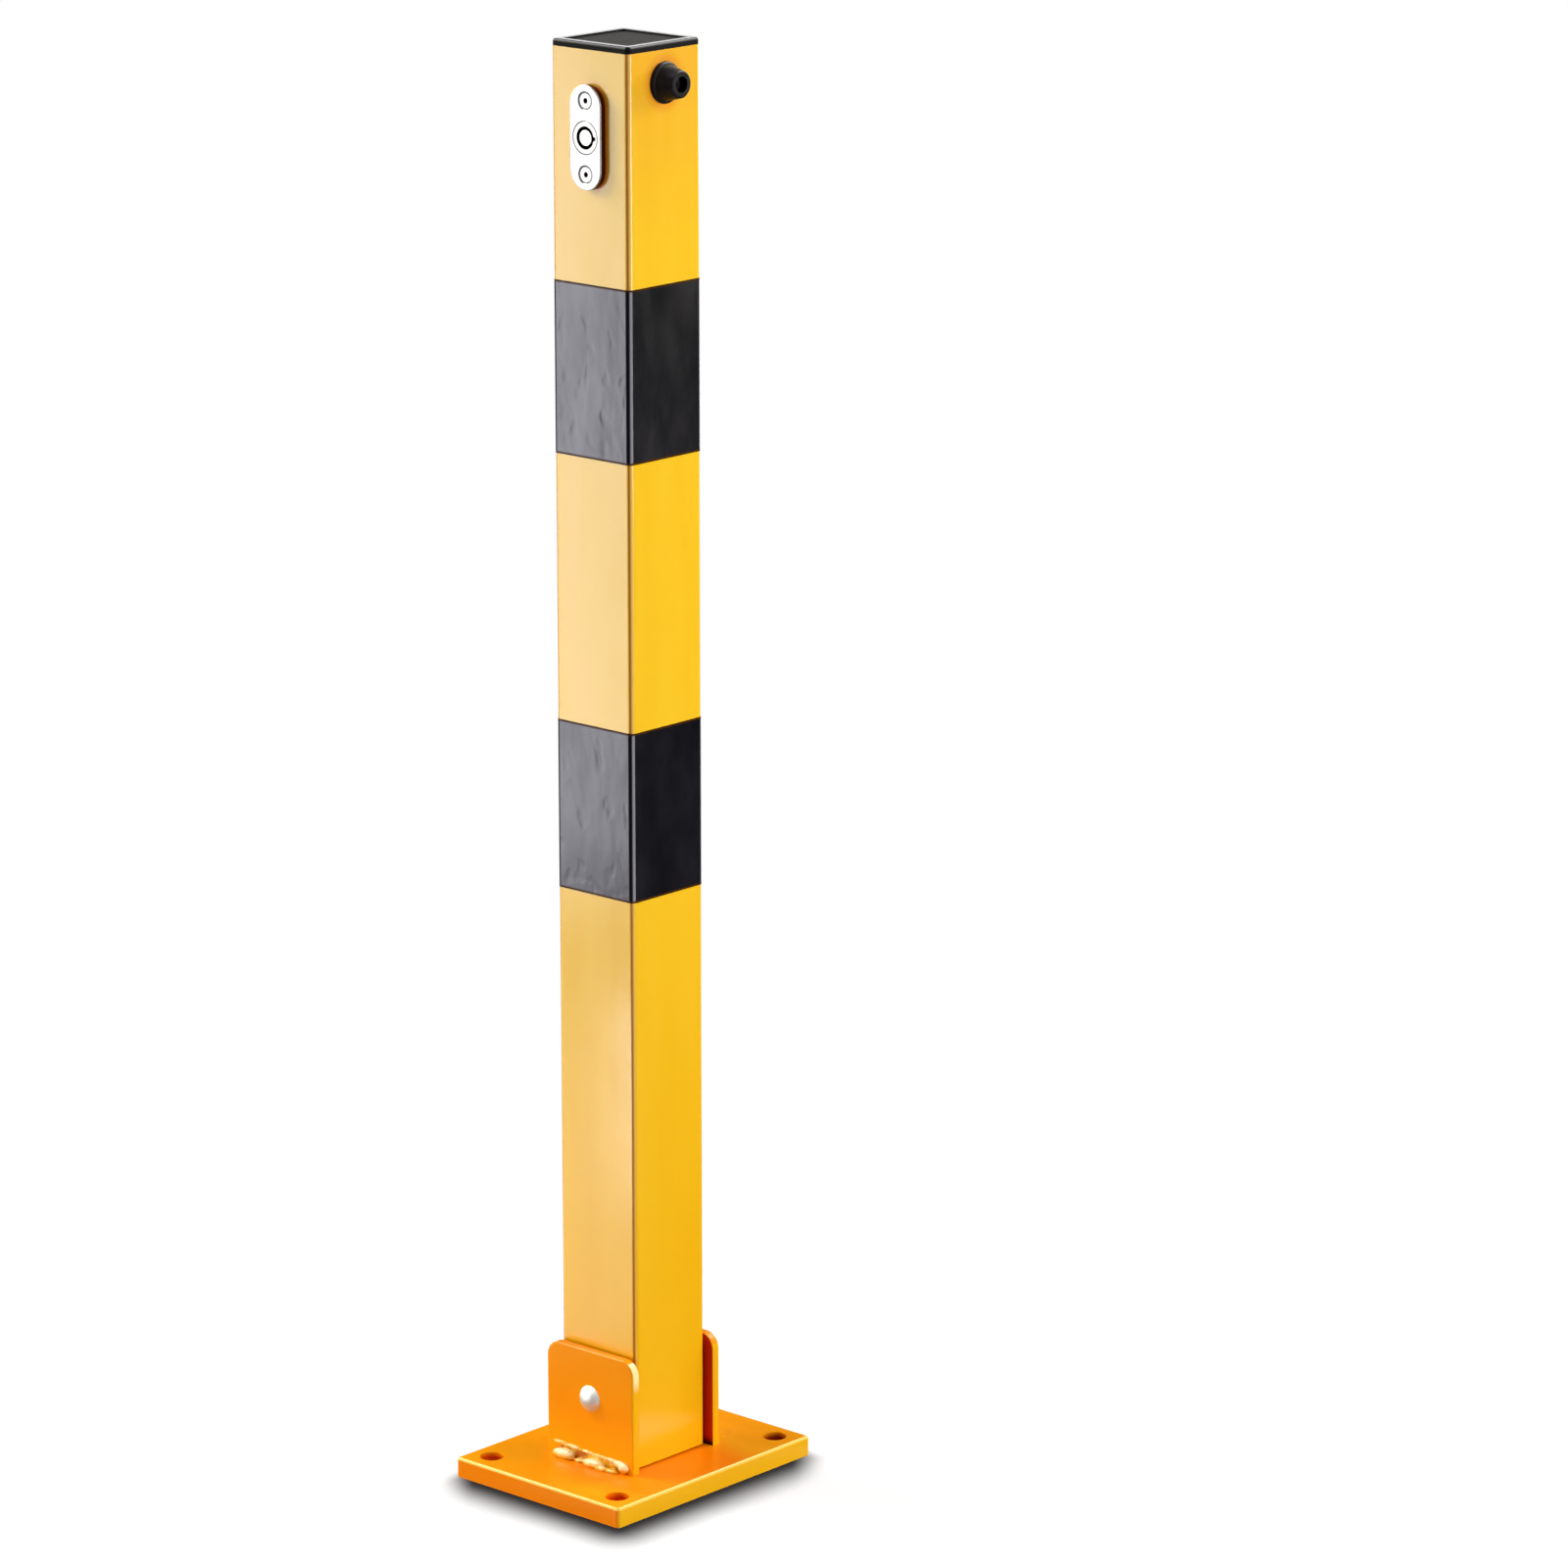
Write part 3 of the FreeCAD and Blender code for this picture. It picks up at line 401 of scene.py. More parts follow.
all_drops = WELD_DROPS + TOE_DROPS
select_only([add_drop(*drop_row[:6]) for drop_row in all_drops])
bpy.ops.object.join()
front_weld = bpy.context.object
name_piece(front_weld, "front_weld_bead")
apply_modifier(front_weld, "REMESH", mode="VOXEL", voxel_size=WELD_GRAIN)
apply_modifier(front_weld, "SMOOTH", factor=WELD_SMOOTH_FACTOR, iterations=WELD_SMOOTHING)
bpy.ops.object.shade_smooth()
tones = front_weld.data.attributes.new("tone", "FLOAT", "POINT")
for vertex in front_weld.data.vertices:
    out = -lug_high.y - vertex.co.y
    up = vertex.co.z - plate_high.z
    weights = []
    for drop_along, drop_out, drop_up, half_along, half_out, half_up, _ in all_drops:
        offset = math.hypot((vertex.co.x - drop_along) / half_along, (out - drop_out) / half_out,
                            (up - drop_up) / half_up)
        weights.append(max(TONE_NEAREST, offset) ** TONE_FALL)
    tone = sum(weight * drop_row[6] for weight, drop_row in zip(weights, all_drops)) / sum(weights)
    # Painted shade: the bead's skirt darkens towards the plate.
    skirt = min(1, max(0, 1 - up / SKIRT_HEIGHT))
    tones.data[vertex.index].value = tone + (SKIRT_SHADE_TONE - tone) * skirt

weld_coat = new_finish("weld_powder_coat")
pit = grain(weld_coat, PIT_SCALE, PIT_DETAIL)
laid = add_node(weld_coat, "Attribute", attribute_name="tone").outputs["Fac"]
patchy = spread(weld_coat, grain(weld_coat, PATCH_SCALE), -PATCH_TONE, PATCH_TONE)
tone = reckon(weld_coat, "ADD", laid, patchy)
# Painted shade in the crease, rising to the amber with its painted light.
coat = ramp(weld_coat, tone, WELD_CREASE_SHADE, AMBER_LIT, CREASE_TONE, AMBER_TONE)
# A pale painted highlight on the drops.
weld_highlighted = over(weld_coat, rising(weld_coat, tone, AMBER_TONE, HIGHLIGHT_TONE), coat, WELD_HIGHLIGHT)
set_shader(weld_coat, {"Base Color": over(weld_coat, rising(weld_coat, pit, *PIT_FROM), weld_highlighted, WELD_PIT),
                       "Specular IOR Level": WELD_GLOSS,
                       "Roughness": spread(weld_coat, pit, *WELD_ROUGHNESS),
                       "Normal": relief(weld_coat, pit, PIT_DEPTH)})
front_weld.data.materials.append(weld_coat)

select_only([front_weld])
bpy.ops.object.duplicate()
rear_weld = bpy.context.object
name_piece(rear_weld, "rear_weld_bead")
rear_weld.rotation_euler = (0, 0, math.radians(180))
set_in_place(rear_weld)
for weld, node in ((front_weld, "front_ear_weld"), (rear_weld, "rear_ear_weld")):
    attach(weld, "base")
    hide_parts(node)

# Hinge pin: a zinc plated rivet with a domed head on each lug, and a washer inside each one.
# Its heads are pressed round and smooth, and bright, with a faint grain from the press.
PIN_RADIUS = 0.005
HEAD_RADIUS = 0.0067
PIN_SEGMENTS = 96
PIN_RINGS = 64
PIN_JOIN = 0.0001
FLAT_LIMIT = 0.99
ROUND_ANGLE = 40
ZINC_DARK = (0.62, 0.62, 0.61, 1)
ZINC_LIGHT = (0.70, 0.70, 0.69, 1)
ZINC_ROUGHNESS = (0.50, 0.56)
ZINC_MOTTLE_SCALE = 260
ZINC_MOTTLE_DETAIL = 3
PRESS_SCALE = 700
PRESS_DEPTH = 0.00001
pin_low, pin_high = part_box("hinge_pin")
pin_rise = (pin_low.z + pin_high.z) / 2
head_height = pin_high.y - lug_high.y
dome_radius = (HEAD_RADIUS ** 2 + head_height ** 2) / (2 * head_height)


def mottled_finish(name, scale, detail, dark, light, roughness, metallic):
    """A finish whose colour and gloss are a little cloudy, and its colour so far."""
    finish = new_finish(name)
    mottle = grain(finish, scale, detail)
    colour = ramp(finish, mottle, dark, light)
    set_shader(finish, {"Base Color": colour, "Roughness": spread(finish, mottle, *roughness),
                        "Metallic": metallic})
    return finish, colour


bpy.ops.mesh.primitive_uv_sphere_add(segments=PIN_SEGMENTS, ring_count=PIN_RINGS, radius=dome_radius,
                                     location=(0, dome_radius - pin_high.y, pin_rise),
                                     rotation=(math.radians(90), 0, 0))
rivet = bpy.context.object
name_piece(rivet, "hinge_rivet")
set_in_place(rivet)
cut_off(rivet, (0, -lug_high.y, 0), (0, 1, 0))
bpy.ops.object.mode_set(mode="EDIT")
bpy.ops.mesh.select_mode(type="FACE")
bpy.ops.mesh.select_all(action="DESELECT")
bpy.ops.object.mode_set(mode="OBJECT")
for face in rivet.data.polygons:
    face.select = face.normal.y > FLAT_LIMIT
bpy.ops.object.mode_set(mode="EDIT")
bpy.ops.mesh.inset(thickness=HEAD_RADIUS - PIN_RADIUS)
bpy.ops.mesh.extrude_region_move(TRANSFORM_OT_translate={"value": (0, lug_high.y, 0)})
bpy.ops.mesh.delete(type="FACE")
bpy.ops.object.mode_set(mode="OBJECT")
apply_modifier(rivet, "MIRROR", use_axis=(False, True, False), merge_threshold=PIN_JOIN)
bpy.ops.object.mode_set(mode="EDIT")
bpy.ops.mesh.select_all(action="SELECT")
bpy.ops.mesh.normals_make_consistent(inside=False)
bpy.ops.object.mode_set(mode="OBJECT")
bpy.ops.object.shade_smooth_by_angle(angle=math.radians(ROUND_ANGLE))
rivet_zinc, _ = mottled_finish("rivet_zinc", ZINC_MOTTLE_SCALE, ZINC_MOTTLE_DETAIL, ZINC_DARK,
                               ZINC_LIGHT, ZINC_ROUGHNESS, 1.0)
set_shader(rivet_zinc, {"Normal": relief(rivet_zinc, grain(rivet_zinc, PRESS_SCALE), PRESS_DEPTH)})
rivet.data.materials.append(rivet_zinc)
dress(rivet_zinc, "hinge_washers", "hinge_pin")
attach(rivet, "base")
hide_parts("hinge_pin")

# Inner bar: a plated steel bar on a bush that turns on the pin, with its collar, its catch and
# the nut that clamps the catch. They are hidden in the post, as are the lock's cam and nuts.
PLATED_DARK = (0.44, 0.45, 0.46, 1)
PLATED_LIGHT = (0.62, 0.62, 0.60, 1)
PLATED_ROUGHNESS = (0.28, 0.42)
PLATED_MOTTLE_SCALE = 180
PLATED_MOTTLE_DETAIL = 4
plated_steel, _ = mottled_finish("plated_steel", PLATED_MOTTLE_SCALE, PLATED_MOTTLE_DETAIL, PLATED_DARK,
                                 PLATED_LIGHT, PLATED_ROUGHNESS, 1.0)
dress(plated_steel, "hinge_eye", "lift_bar", "lift_stop", "lock_catch", "catch_nut",
      "lock_nut", "lock_cam", "cam_screw", "bumper_nut")

# Bar guide: a block of natural nylon pressed into the post, bored for the bar.
# It is milky, and scuffed where the bar has run in it.
NYLON_DARK = (0.70, 0.68, 0.61, 1)
NYLON_LIGHT = (0.80, 0.78, 0.72, 1)
NYLON_ROUGHNESS = (0.4, 0.55)
NYLON_SCUFF_SCALE = 90
NYLON_SCUFF_DETAIL = 2
guide_nylon, _ = mottled_finish("guide_nylon", NYLON_SCUFF_SCALE, NYLON_SCUFF_DETAIL, NYLON_DARK,
                                NYLON_LIGHT, NYLON_ROUGHNESS, 0.0)
dress(guide_nylon, "bar_guide")

# Post: square steel tube, slotted at its foot over the pin and powder coated bright yellow.
# The coat is a little warmer towards the foot and on the bumper face's upper end, and has faint
# streaks down its length. Painted shade lies as a thin brown line along the corners, a brown rim
# on the right of the lock plate and a darker ring round the bumper.
YELLOW_HEAD = (0.94, 0.57, 0.018, 1)
YELLOW_FOOT = (0.96, 0.50, 0.001, 1)
YELLOW_TOP = (0.92, 0.47, 0.016, 1)
YELLOW_PALE = (1.0, 1.0, 1.0, 1)
YELLOW_DULL = (0.98, 0.93, 0.82, 1)
YELLOW_CORNER_SHADE = (0.60, 0.20, 0.002, 1)
YELLOW_PLATE_SHADE = (0.85, 0.26, 0.030, 1)
YELLOW_BUMPER_SHADE = (0.86, 0.30, 0.010, 1)
YELLOW_GLOSS = 0.85
YELLOW_ROUGHNESS = (0.12, 0.22)
STREAK_SCALE = 60
STREAK_STRETCH = (1, 1, 0.12)
WARM_HEIGHTS = (0.05, 0.34)
TOP_HEIGHTS = (0.62, 0.70)
CORNER_FROM = (0.0230, 0.0234)
CORNER_TO = (0.0241, 0.0245)
SEAT_STRAIGHT = 0.015
SEAT_REACH = (0.0104, 0.0128)
SEAT_SIDE = (0.002, 0.006)
BUMPER_SHADE_REACH = (0.0095, 0.0155)


def between(finish, number, start, end):
    """A mask that is 1 from one soft step to another."""
    return times(finish, rising(finish, number, *start), falling(finish, number, *end))


def past(finish, number, node):
    """How far a height is above the middle of a CAD node."""
    low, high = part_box(node)
    return reckon(finish, "SUBTRACT", number, (low.z + high.z) / 2)


yellow_coat = new_finish("yellow_powder_coat")
across, along, rise = spot(yellow_coat)[1:]
streak = grain(yellow_coat, STREAK_SCALE, stretch=STREAK_STRETCH)
bumper_face = rising(yellow_coat, across, *CORNER_TO)
lock_face = falling(yellow_coat, along, -CORNER_TO[1], -CORNER_TO[0])
upper_end = times(yellow_coat, bumper_face, rising(yellow_coat, rise, *TOP_HEIGHTS))
warmth = ramp(yellow_coat, rise, YELLOW_FOOT, YELLOW_HEAD, *WARM_HEIGHTS)
yellow = over(yellow_coat, upper_end, warmth, YELLOW_TOP)
streaked = over(yellow_coat, 1.0, yellow, ramp(yellow_coat, streak, YELLOW_DULL, YELLOW_PALE), "MULTIPLY")
# A thin brown line of painted shade along the corners.
corner = between(yellow_coat, size_of(yellow_coat, across), CORNER_FROM, CORNER_TO)
corner_shaded = over(yellow_coat, corner, streaked, YELLOW_CORNER_SHADE)

# Painted shade: a brown rim on the right of the lock plate.
past_lock = size_of(yellow_coat, past(yellow_coat, rise, "lock_plate"))
past_straight = reckon(yellow_coat, "SUBTRACT", past_lock, SEAT_STRAIGHT)
round_end = reckon(yellow_coat, "MAXIMUM", past_straight, 0.0)
from_seat = add_node(yellow_coat, "CombineXYZ", {"X": across, "Z": round_end}).outputs[0]
near_seat = falling(yellow_coat, reckon_vector(yellow_coat, "LENGTH", from_seat), *SEAT_REACH)
right_of_seat = times(yellow_coat, lock_face, rising(yellow_coat, across, *SEAT_SIDE))
plate_shaded = over(yellow_coat, times(yellow_coat, near_seat, right_of_seat), corner_shaded, YELLOW_PLATE_SHADE)

# Painted shade: a darker orange ring round the bumper on its face.
past_bumper = past(yellow_coat, rise, "bumper")
from_bumper = add_node(yellow_coat, "CombineXYZ", {"Y": along, "Z": past_bumper}).outputs[0]
near_bumper = falling(yellow_coat, reckon_vector(yellow_coat, "LENGTH", from_bumper), *BUMPER_SHADE_REACH)
bumper_shade = times(yellow_coat, near_bumper, bumper_face)
set_shader(yellow_coat, {"Base Color": over(yellow_coat, bumper_shade, plate_shaded, YELLOW_BUMPER_SHADE),
                         "Specular IOR Level": YELLOW_GLOSS,
                         "Roughness": spread(yellow_coat, streak, *YELLOW_ROUGHNESS),
                         "Normal": coat_relief(yellow_coat)})
dress(yellow_coat, "post_tube")

# Bands: two wraps of black vinyl film, stuck round the post by hand.
# The film has a cool, soft gloss, with shallow ripples, a few small dents and rubbed patches. It is
# stretched dull round the corners, with a pale painted highlight along them, and painted shade along its cut
# ends.
FILM_DARK = (0.005, 0.005, 0.007, 1)
FILM_LIGHT = (0.008, 0.007, 0.010, 1)
FILM_CORNER_HIGHLIGHT = (0.30, 0.29, 0.32, 1)
FILM_CUT_SHADE = (0.055, 0.020, 0.004, 1)
FILM_SHEEN = (0.90, 0.88, 1.0, 1)
FILM_GLOSS = 0.5
FILM_DULL_GLOSS = 0.06
FILM_IOR = 1.70
FILM_ROUGHNESS = (0.15, 0.25)
FILM_CORNER = (0.0226, 0.0230)
FILM_HIGHLIGHT_FROM = (0.0231, 0.0234)
FILM_HIGHLIGHT_TO = (0.0242, 0.0246)
CUT_DEPTH = 0.0013
RUB_SCALE = 45
RUB_DETAIL = 3
RUB_STRETCH = (1, 1, 0.55)
RIPPLE_SCALE = 60
RIPPLE_STRETCH = (1, 1, 0.4)
RIPPLE_DEPTH = 0.0003
DENT_SCALE = 130
DENT_DETAIL = 1
DENT_STRETCH = (1, 1, 0.6)
DENT_FROM = (0.56, 0.76)
DENT_DEPTH = 0.00008
FILM_GRAIN_SCALE = 900
FILM_GRAIN_DEPTH = 0.00001
black_film = new_finish("black_film")
rub = grain(black_film, RUB_SCALE, RUB_DETAIL, RUB_STRETCH)
across, along, rise = spot(black_film)[1:]
far_along = size_of(black_film, along)
corner = times(black_film, rising(black_film, size_of(black_film, across), *FILM_CORNER),
               rising(black_film, far_along, *FILM_CORNER))
# A pale painted highlight along the corners.
corner_highlight = between(black_film, far_along, FILM_HIGHLIGHT_FROM, FILM_HIGHLIGHT_TO)
from_upper, from_lower = [size_of(black_film, past(black_film, rise, band))
                          for band in ("upper_band", "lower_band")]
from_middle = reckon(black_film, "MINIMUM", from_upper, from_lower)
band_low, band_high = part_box("lower_band")
half_band = (band_high.z - band_low.z) / 2
# Painted shade along the band's cut ends.
cut = rising(black_film, from_middle, half_band - CUT_DEPTH, half_band - CUT_DEPTH / 2)
dull = reckon(black_film, "MAXIMUM", corner, cut)
film = over(black_film, corner_highlight, ramp(black_film, rub, FILM_DARK, FILM_LIGHT), FILM_CORNER_HIGHLIGHT)
ripple = relief(black_film, grain(black_film, RIPPLE_SCALE, stretch=RIPPLE_STRETCH), RIPPLE_DEPTH)
dents = falling(black_film, grain(black_film, DENT_SCALE, DENT_DETAIL, DENT_STRETCH), *DENT_FROM)
dented = relief(black_film, dents, DENT_DEPTH, ripple)
set_shader(black_film, {"Base Color": over(black_film, cut, film, FILM_CUT_SHADE),
                        "Specular IOR Level": spread(black_film, dull, FILM_GLOSS, FILM_DULL_GLOSS, 0, 1),
                        "Specular Tint": FILM_SHEEN,
                        "IOR": FILM_IOR,
                        "Roughness": spread(black_film, rub, *FILM_ROUGHNESS),
                        "Normal": relief(black_film, grain(black_film, FILM_GRAIN_SCALE), FILM_GRAIN_DEPTH,
                                         dented)})
dress(black_film, "upper_band", "lower_band")

# Top cap: moulded black plastic, pushed into the post's open end.
# Its rim is smooth, and its sunken panel has a coarse spark-eroded grain.
CAP_DARK = (0.002, 0.002, 0.003, 1)
CAP_LIGHT = (0.007, 0.007, 0.009, 1)
CAP_SHEEN = (0.93, 0.90, 1.0, 1)
CAP_GLOSS = 0.08
CAP_ROUGHNESS = (0.20, 0.95)
CAP_PANEL = (0.0205, 0.0210)
CAP_EDGE = 0.0014
CAP_GRAIN_SCALE = 1100
CAP_GRAIN_DETAIL = 3
CAP_GRAIN_DEPTH = 0.0004
cap_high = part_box("top_cap")[1]
black_plastic = new_finish("black_plastic")
speck = grain(black_plastic, CAP_GRAIN_SCALE, CAP_GRAIN_DETAIL)
across, along, rise = spot(black_plastic)[1:]
furthest = reckon(black_plastic, "MAXIMUM", size_of(black_plastic, across), size_of(black_plastic, along))
panel = falling(black_plastic, furthest, *CAP_PANEL)
side = falling(black_plastic, rise, cap_high.z - CAP_EDGE, cap_high.z - CAP_EDGE / 2)
matt = reckon(black_plastic, "MAXIMUM", panel, side)
eroded = times(black_plastic, speck, panel)
set_shader(black_plastic, {"Base Color": ramp(black_plastic, speck, CAP_DARK, CAP_LIGHT),
                           "Specular IOR Level": CAP_GLOSS,
                           "Specular Tint": CAP_SHEEN,
                           "Roughness": spread(black_plastic, matt, *CAP_ROUGHNESS, 0, 1),
                           "Normal": relief(black_plastic, eroded, CAP_GRAIN_DEPTH)})
dress(black_plastic, "top_cap")

# Lock plate: stainless plate with rounded ends and two countersunk socket screws.
# It is brushed along its length; painted shade darkens its cut sides, the screw sockets and rings round the
# countersinks.
STEEL_DARK = (0.29, 0.29, 0.30, 1)
STEEL_LIGHT = (0.37, 0.37, 0.38, 1)
STEEL_ROUGHNESS = (0.20, 0.28)
PLATE_SIDE_SHADE = (0.12, 0.026, 0.008, 1)
SINK_SHADE = (0.09, 0.09, 0.09, 1)
BRUSH_SCALE = 1400
BRUSH_DETAIL = 3
BRUSH_STRETCH = (1, 1, 0.03)
BRUSH_DEPTH = 0.000006
SIDE_DEPTH = 0.0007
SINK_DEPTH = 0.00008
SINK_RIM = (0.005096, 0.0052)
SCREW_SPACE = 0.0175
SCREW_RIM = (0.003456, 0.0036)
DEPTH_FADE = 0.85
lock_low, lock_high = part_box("lock_plate")
lock_middle = (0, 0, (lock_low.z + lock_high.z) / 2)


def deeper_than(finish, depth):
    """A mask that is 1 from that depth behind the lock plate's face."""
    return rising(finish, spot(finish)[2], lock_low.y + depth * DEPTH_FADE, lock_low.y + depth)


def from_lock(finish):
    """A point's place from the lock's axis, with its depth left out."""
    centred = reckon_vector(finish, "SUBTRACT", spot(finish)[0], lock_middle)
    return reckon_vector(finish, "MULTIPLY", centred, (1, 0, 1))


def to_screw(finish):
    """How far a point is from the axis of the nearer screw."""
    mirrored = reckon_vector(finish, "ABSOLUTE", from_lock(finish))
    return reckon_vector(finish, "DISTANCE", mirrored, (0, 0, SCREW_SPACE))


def stainless_finish(name):
    """Brushed stainless with painted shade on its cut sides and in its recesses, and its colour so far."""
    finish = new_finish(name)
    brushed = grain(finish, BRUSH_SCALE, BRUSH_DETAIL, BRUSH_STRETCH)
    set_shader(finish, {"Metallic": 1.0,
                        "Roughness": spread(finish, brushed, *STEEL_ROUGHNESS),
                        "Normal": relief(finish, brushed, BRUSH_DEPTH)})
    steel = ramp(finish, brushed, STEEL_DARK, STEEL_LIGHT)
    # Painted shade on all that lies deeper than the plate's face: its cut sides and the screw sockets.
    return finish, over(finish, deeper_than(finish, SIDE_DEPTH), steel, PLATE_SIDE_SHADE)


screw_steel, colour = stainless_finish("screw_stainless")
# Painted shade round the rim of each screw head.
rim = rising(screw_steel, to_screw(screw_steel), *SCREW_RIM)
set_shader(screw_steel, {"Base Color": over(screw_steel, rim, colour, SINK_SHADE)})
dress(screw_steel, "lock_screws")

plate_steel, colour = stainless_finish("brushed_stainless")
# Painted shade in the countersink round each screw.
round_screw = falling(plate_steel, to_screw(plate_steel), *SINK_RIM)
sunk = times(plate_steel, round_screw, deeper_than(plate_steel, SINK_DEPTH))
set_shader(plate_steel, {"Base Color": over(plate_steel, sunk, colour, SINK_SHADE)})
dress(plate_steel, "lock_plate")

# Lock: nickel plated barrel with a round keyway, and the core that the key turns.
# It is turned from brass and plated, and its flange sits behind the plate. Painted shade makes its keyway
# black and greys the rim of its nose.
NICKEL_DARK = (0.30, 0.295, 0.29, 1)
NICKEL_LIGHT = (0.37, 0.365, 0.36, 1)
NICKEL_ROUGHNESS = (0.20, 0.28)
NICKEL_MOTTLE_SCALE = 320
NICKEL_MOTTLE_DETAIL = 3
KEYWAY_SHADE = (0.006, 0.005, 0.005, 1)
KEYWAY_DEPTH = 0.00042
NOSE_SHADE = (0.22, 0.205, 0.21, 1)
NOSE_EDGE = (0.007372, 0.0076)
nickel, plating = mottled_finish("lock_nickel", NICKEL_MOTTLE_SCALE, NICKEL_MOTTLE_DETAIL, NICKEL_DARK,
                                 NICKEL_LIGHT, NICKEL_ROUGHNESS, 1.0)
from_axis = reckon_vector(nickel, "LENGTH", from_lock(nickel))
# Painted shade: a grey ring on the rim of the barrel's nose.
nose_shaded = over(nickel, rising(nickel, from_axis, *NOSE_EDGE), plating, NOSE_SHADE)
# Painted shade makes the keyway black below its depth.
set_shader(nickel, {"Base Color": over(nickel, deeper_than(nickel, KEYWAY_DEPTH), nose_shaded, KEYWAY_SHADE)})
dress(nickel, "lock_body", "lock_plug")

# Bumper: tapered rubber foot that the folded post lands on, held by a screw in its recess.
# It is moulded in black rubber, with the dull bloom that rubber gets.
RUBBER_DARK = (0.003, 0.003, 0.004, 1)
RUBBER_LIGHT = (0.008, 0.008, 0.010, 1)
RUBBER_SHEEN = (1.0, 0.84, 0.90, 1)
RUBBER_GLOSS = 0.10
RUBBER_ROUGHNESS = (0.34, 0.48)
BLOOM_SCALE = 240
BLOOM_DETAIL = 4
RUBBER_GRAIN_SCALE = 1100
RUBBER_GRAIN_DEPTH = 0.00003
black_rubber, _ = mottled_finish("black_rubber", BLOOM_SCALE, BLOOM_DETAIL, RUBBER_DARK, RUBBER_LIGHT,
                                 RUBBER_ROUGHNESS, 0.0)
rubber_grain = grain(black_rubber, RUBBER_GRAIN_SCALE)
set_shader(black_rubber, {"Specular IOR Level": RUBBER_GLOSS,
                          "Specular Tint": RUBBER_SHEEN,
                          "Normal": relief(black_rubber, rubber_grain, RUBBER_GRAIN_DEPTH)})
dress(black_rubber, "bumper")

# Bumper screw: a blackened steel screw, sunk deep in the bumper's recess.
# It is dipped, so it has a dull, slightly uneven film.
OXIDE_DARK = (0.010, 0.010, 0.011, 1)
OXIDE_LIGHT = (0.022, 0.022, 0.024, 1)
OXIDE_ROUGHNESS = (0.45, 0.6)
OXIDE_MOTTLE_SCALE = 400
OXIDE_MOTTLE_DETAIL = 3
black_oxide, _ = mottled_finish("black_oxide", OXIDE_MOTTLE_SCALE, OXIDE_MOTTLE_DETAIL, OXIDE_DARK,
                                OXIDE_LIGHT, OXIDE_ROUGHNESS, 1.0)
dress(black_oxide, "bumper_screw")

# Studio floor: a wide sheet of white paper. Near the plate it is lit by the lamps and carries a
# painted shadow round the plate, deepest towards the camera, and further out it is white by itself.
FLOOR_SIZE = 30
FLOOR_DROP = 0.0004
PAPER_SEEN = 1.15
PAPER_BOUNCE = (0.38, 0.38, 0.38, 1)
PAPER_ROUGHNESS = 0.9
SHADE_DEPTH = 0.965
SHADE_NEAR = 0.032
SHADE_FAR = 0.008
SHADE_SINK = 0.004
SHADE_ACROSS = (0.745, 0.667, 0)
SHADE_HALF_WIDTH = (0.078, 0.099)
PAPER_GLOW = 0.75
LIT_REACH = 0.25
WHITE_REACH = 0.55


def when_seen(finish):
    """1 for what the camera, a reflection or glass looks at, and 0 for light that falls."""
    path = add_node(finish, "LightPath").outputs
    mirrored = reckon(finish, "MAXIMUM", path["Is Glossy Ray"], path["Is Transmission Ray"])
    return reckon(finish, "MAXIMUM", mirrored, path["Is Camera Ray"])


def fade(finish, number, start, end):
    """A soft step from 1 at start to 0 at end."""
    low, high = min(start, end), max(start, end)
    step = add_node(finish, "MapRange", {"Value": number, "From Min": low, "From Max": high,
                                         "To Min": float(start < end), "To Max": float(start > end)},
                    interpolation_type="SMOOTHSTEP")
    return step.outputs["Result"]


def mix_shaders(finish, mask, first, second):
    """The first shader where the mask is 0, and the second where it is 1."""
    inputs = {"Fac": mask, 1: first.outputs[0], 2: second.outputs[0]}
    return add_node(finish, "MixShader", inputs)


bpy.ops.mesh.primitive_plane_add(size=FLOOR_SIZE, location=(0, 0, -FLOOR_DROP))
floor = bpy.context.object
floor.name = "floor"
paper = new_finish("white_paper")
bounce = set_shader(paper, {"Base Color": PAPER_BOUNCE, "Roughness": PAPER_ROUGHNESS})
place, across, along = spot(paper)[:3]
right_shade = fade(paper, across, plate_high.x, plate_high.x + SHADE_NEAR)
front_shade = fade(paper, along, plate_low.y, plate_low.y - SHADE_NEAR)
left_shade = fade(paper, across, plate_low.x + SHADE_SINK, plate_low.x - SHADE_FAR)
back_shade = fade(paper, along, plate_high.y - SHADE_SINK, plate_high.y + SHADE_FAR)
sideways = size_of(paper, reckon_vector(paper, "DOT_PRODUCT", place, SHADE_ACROSS))
side_shade = fade(paper, sideways, *SHADE_HALF_WIDTH)
near_shade = times(paper, side_shade, times(paper, right_shade, front_shade))
shade = times(paper, near_shade, times(paper, left_shade, back_shade))
brightness = spread(paper, shade, 1, 1 - SHADE_DEPTH, 0, 1)
matt_paper = add_node(paper, "BsdfDiffuse", {"Color": times(paper, brightness, PAPER_SEEN)})
shaded_glow = add_node(paper, "Emission", {"Strength": brightness})
lit = mix_shaders(paper, PAPER_GLOW, matt_paper, shaded_glow)
glow = add_node(paper, "Emission", {"Color": (1, 1, 1, 1), "Strength": 1.0})
far = rising(paper, reckon_vector(paper, "LENGTH", place), LIT_REACH, WHITE_REACH)
looked_at = mix_shaders(paper, far, lit, glow)
cover = mix_shaders(paper, when_seen(paper), bounce, looked_at)
feed(paper, paper.node_tree.nodes["Material Output"].inputs["Surface"], cover.outputs[0])
floor.data.materials.append(paper)

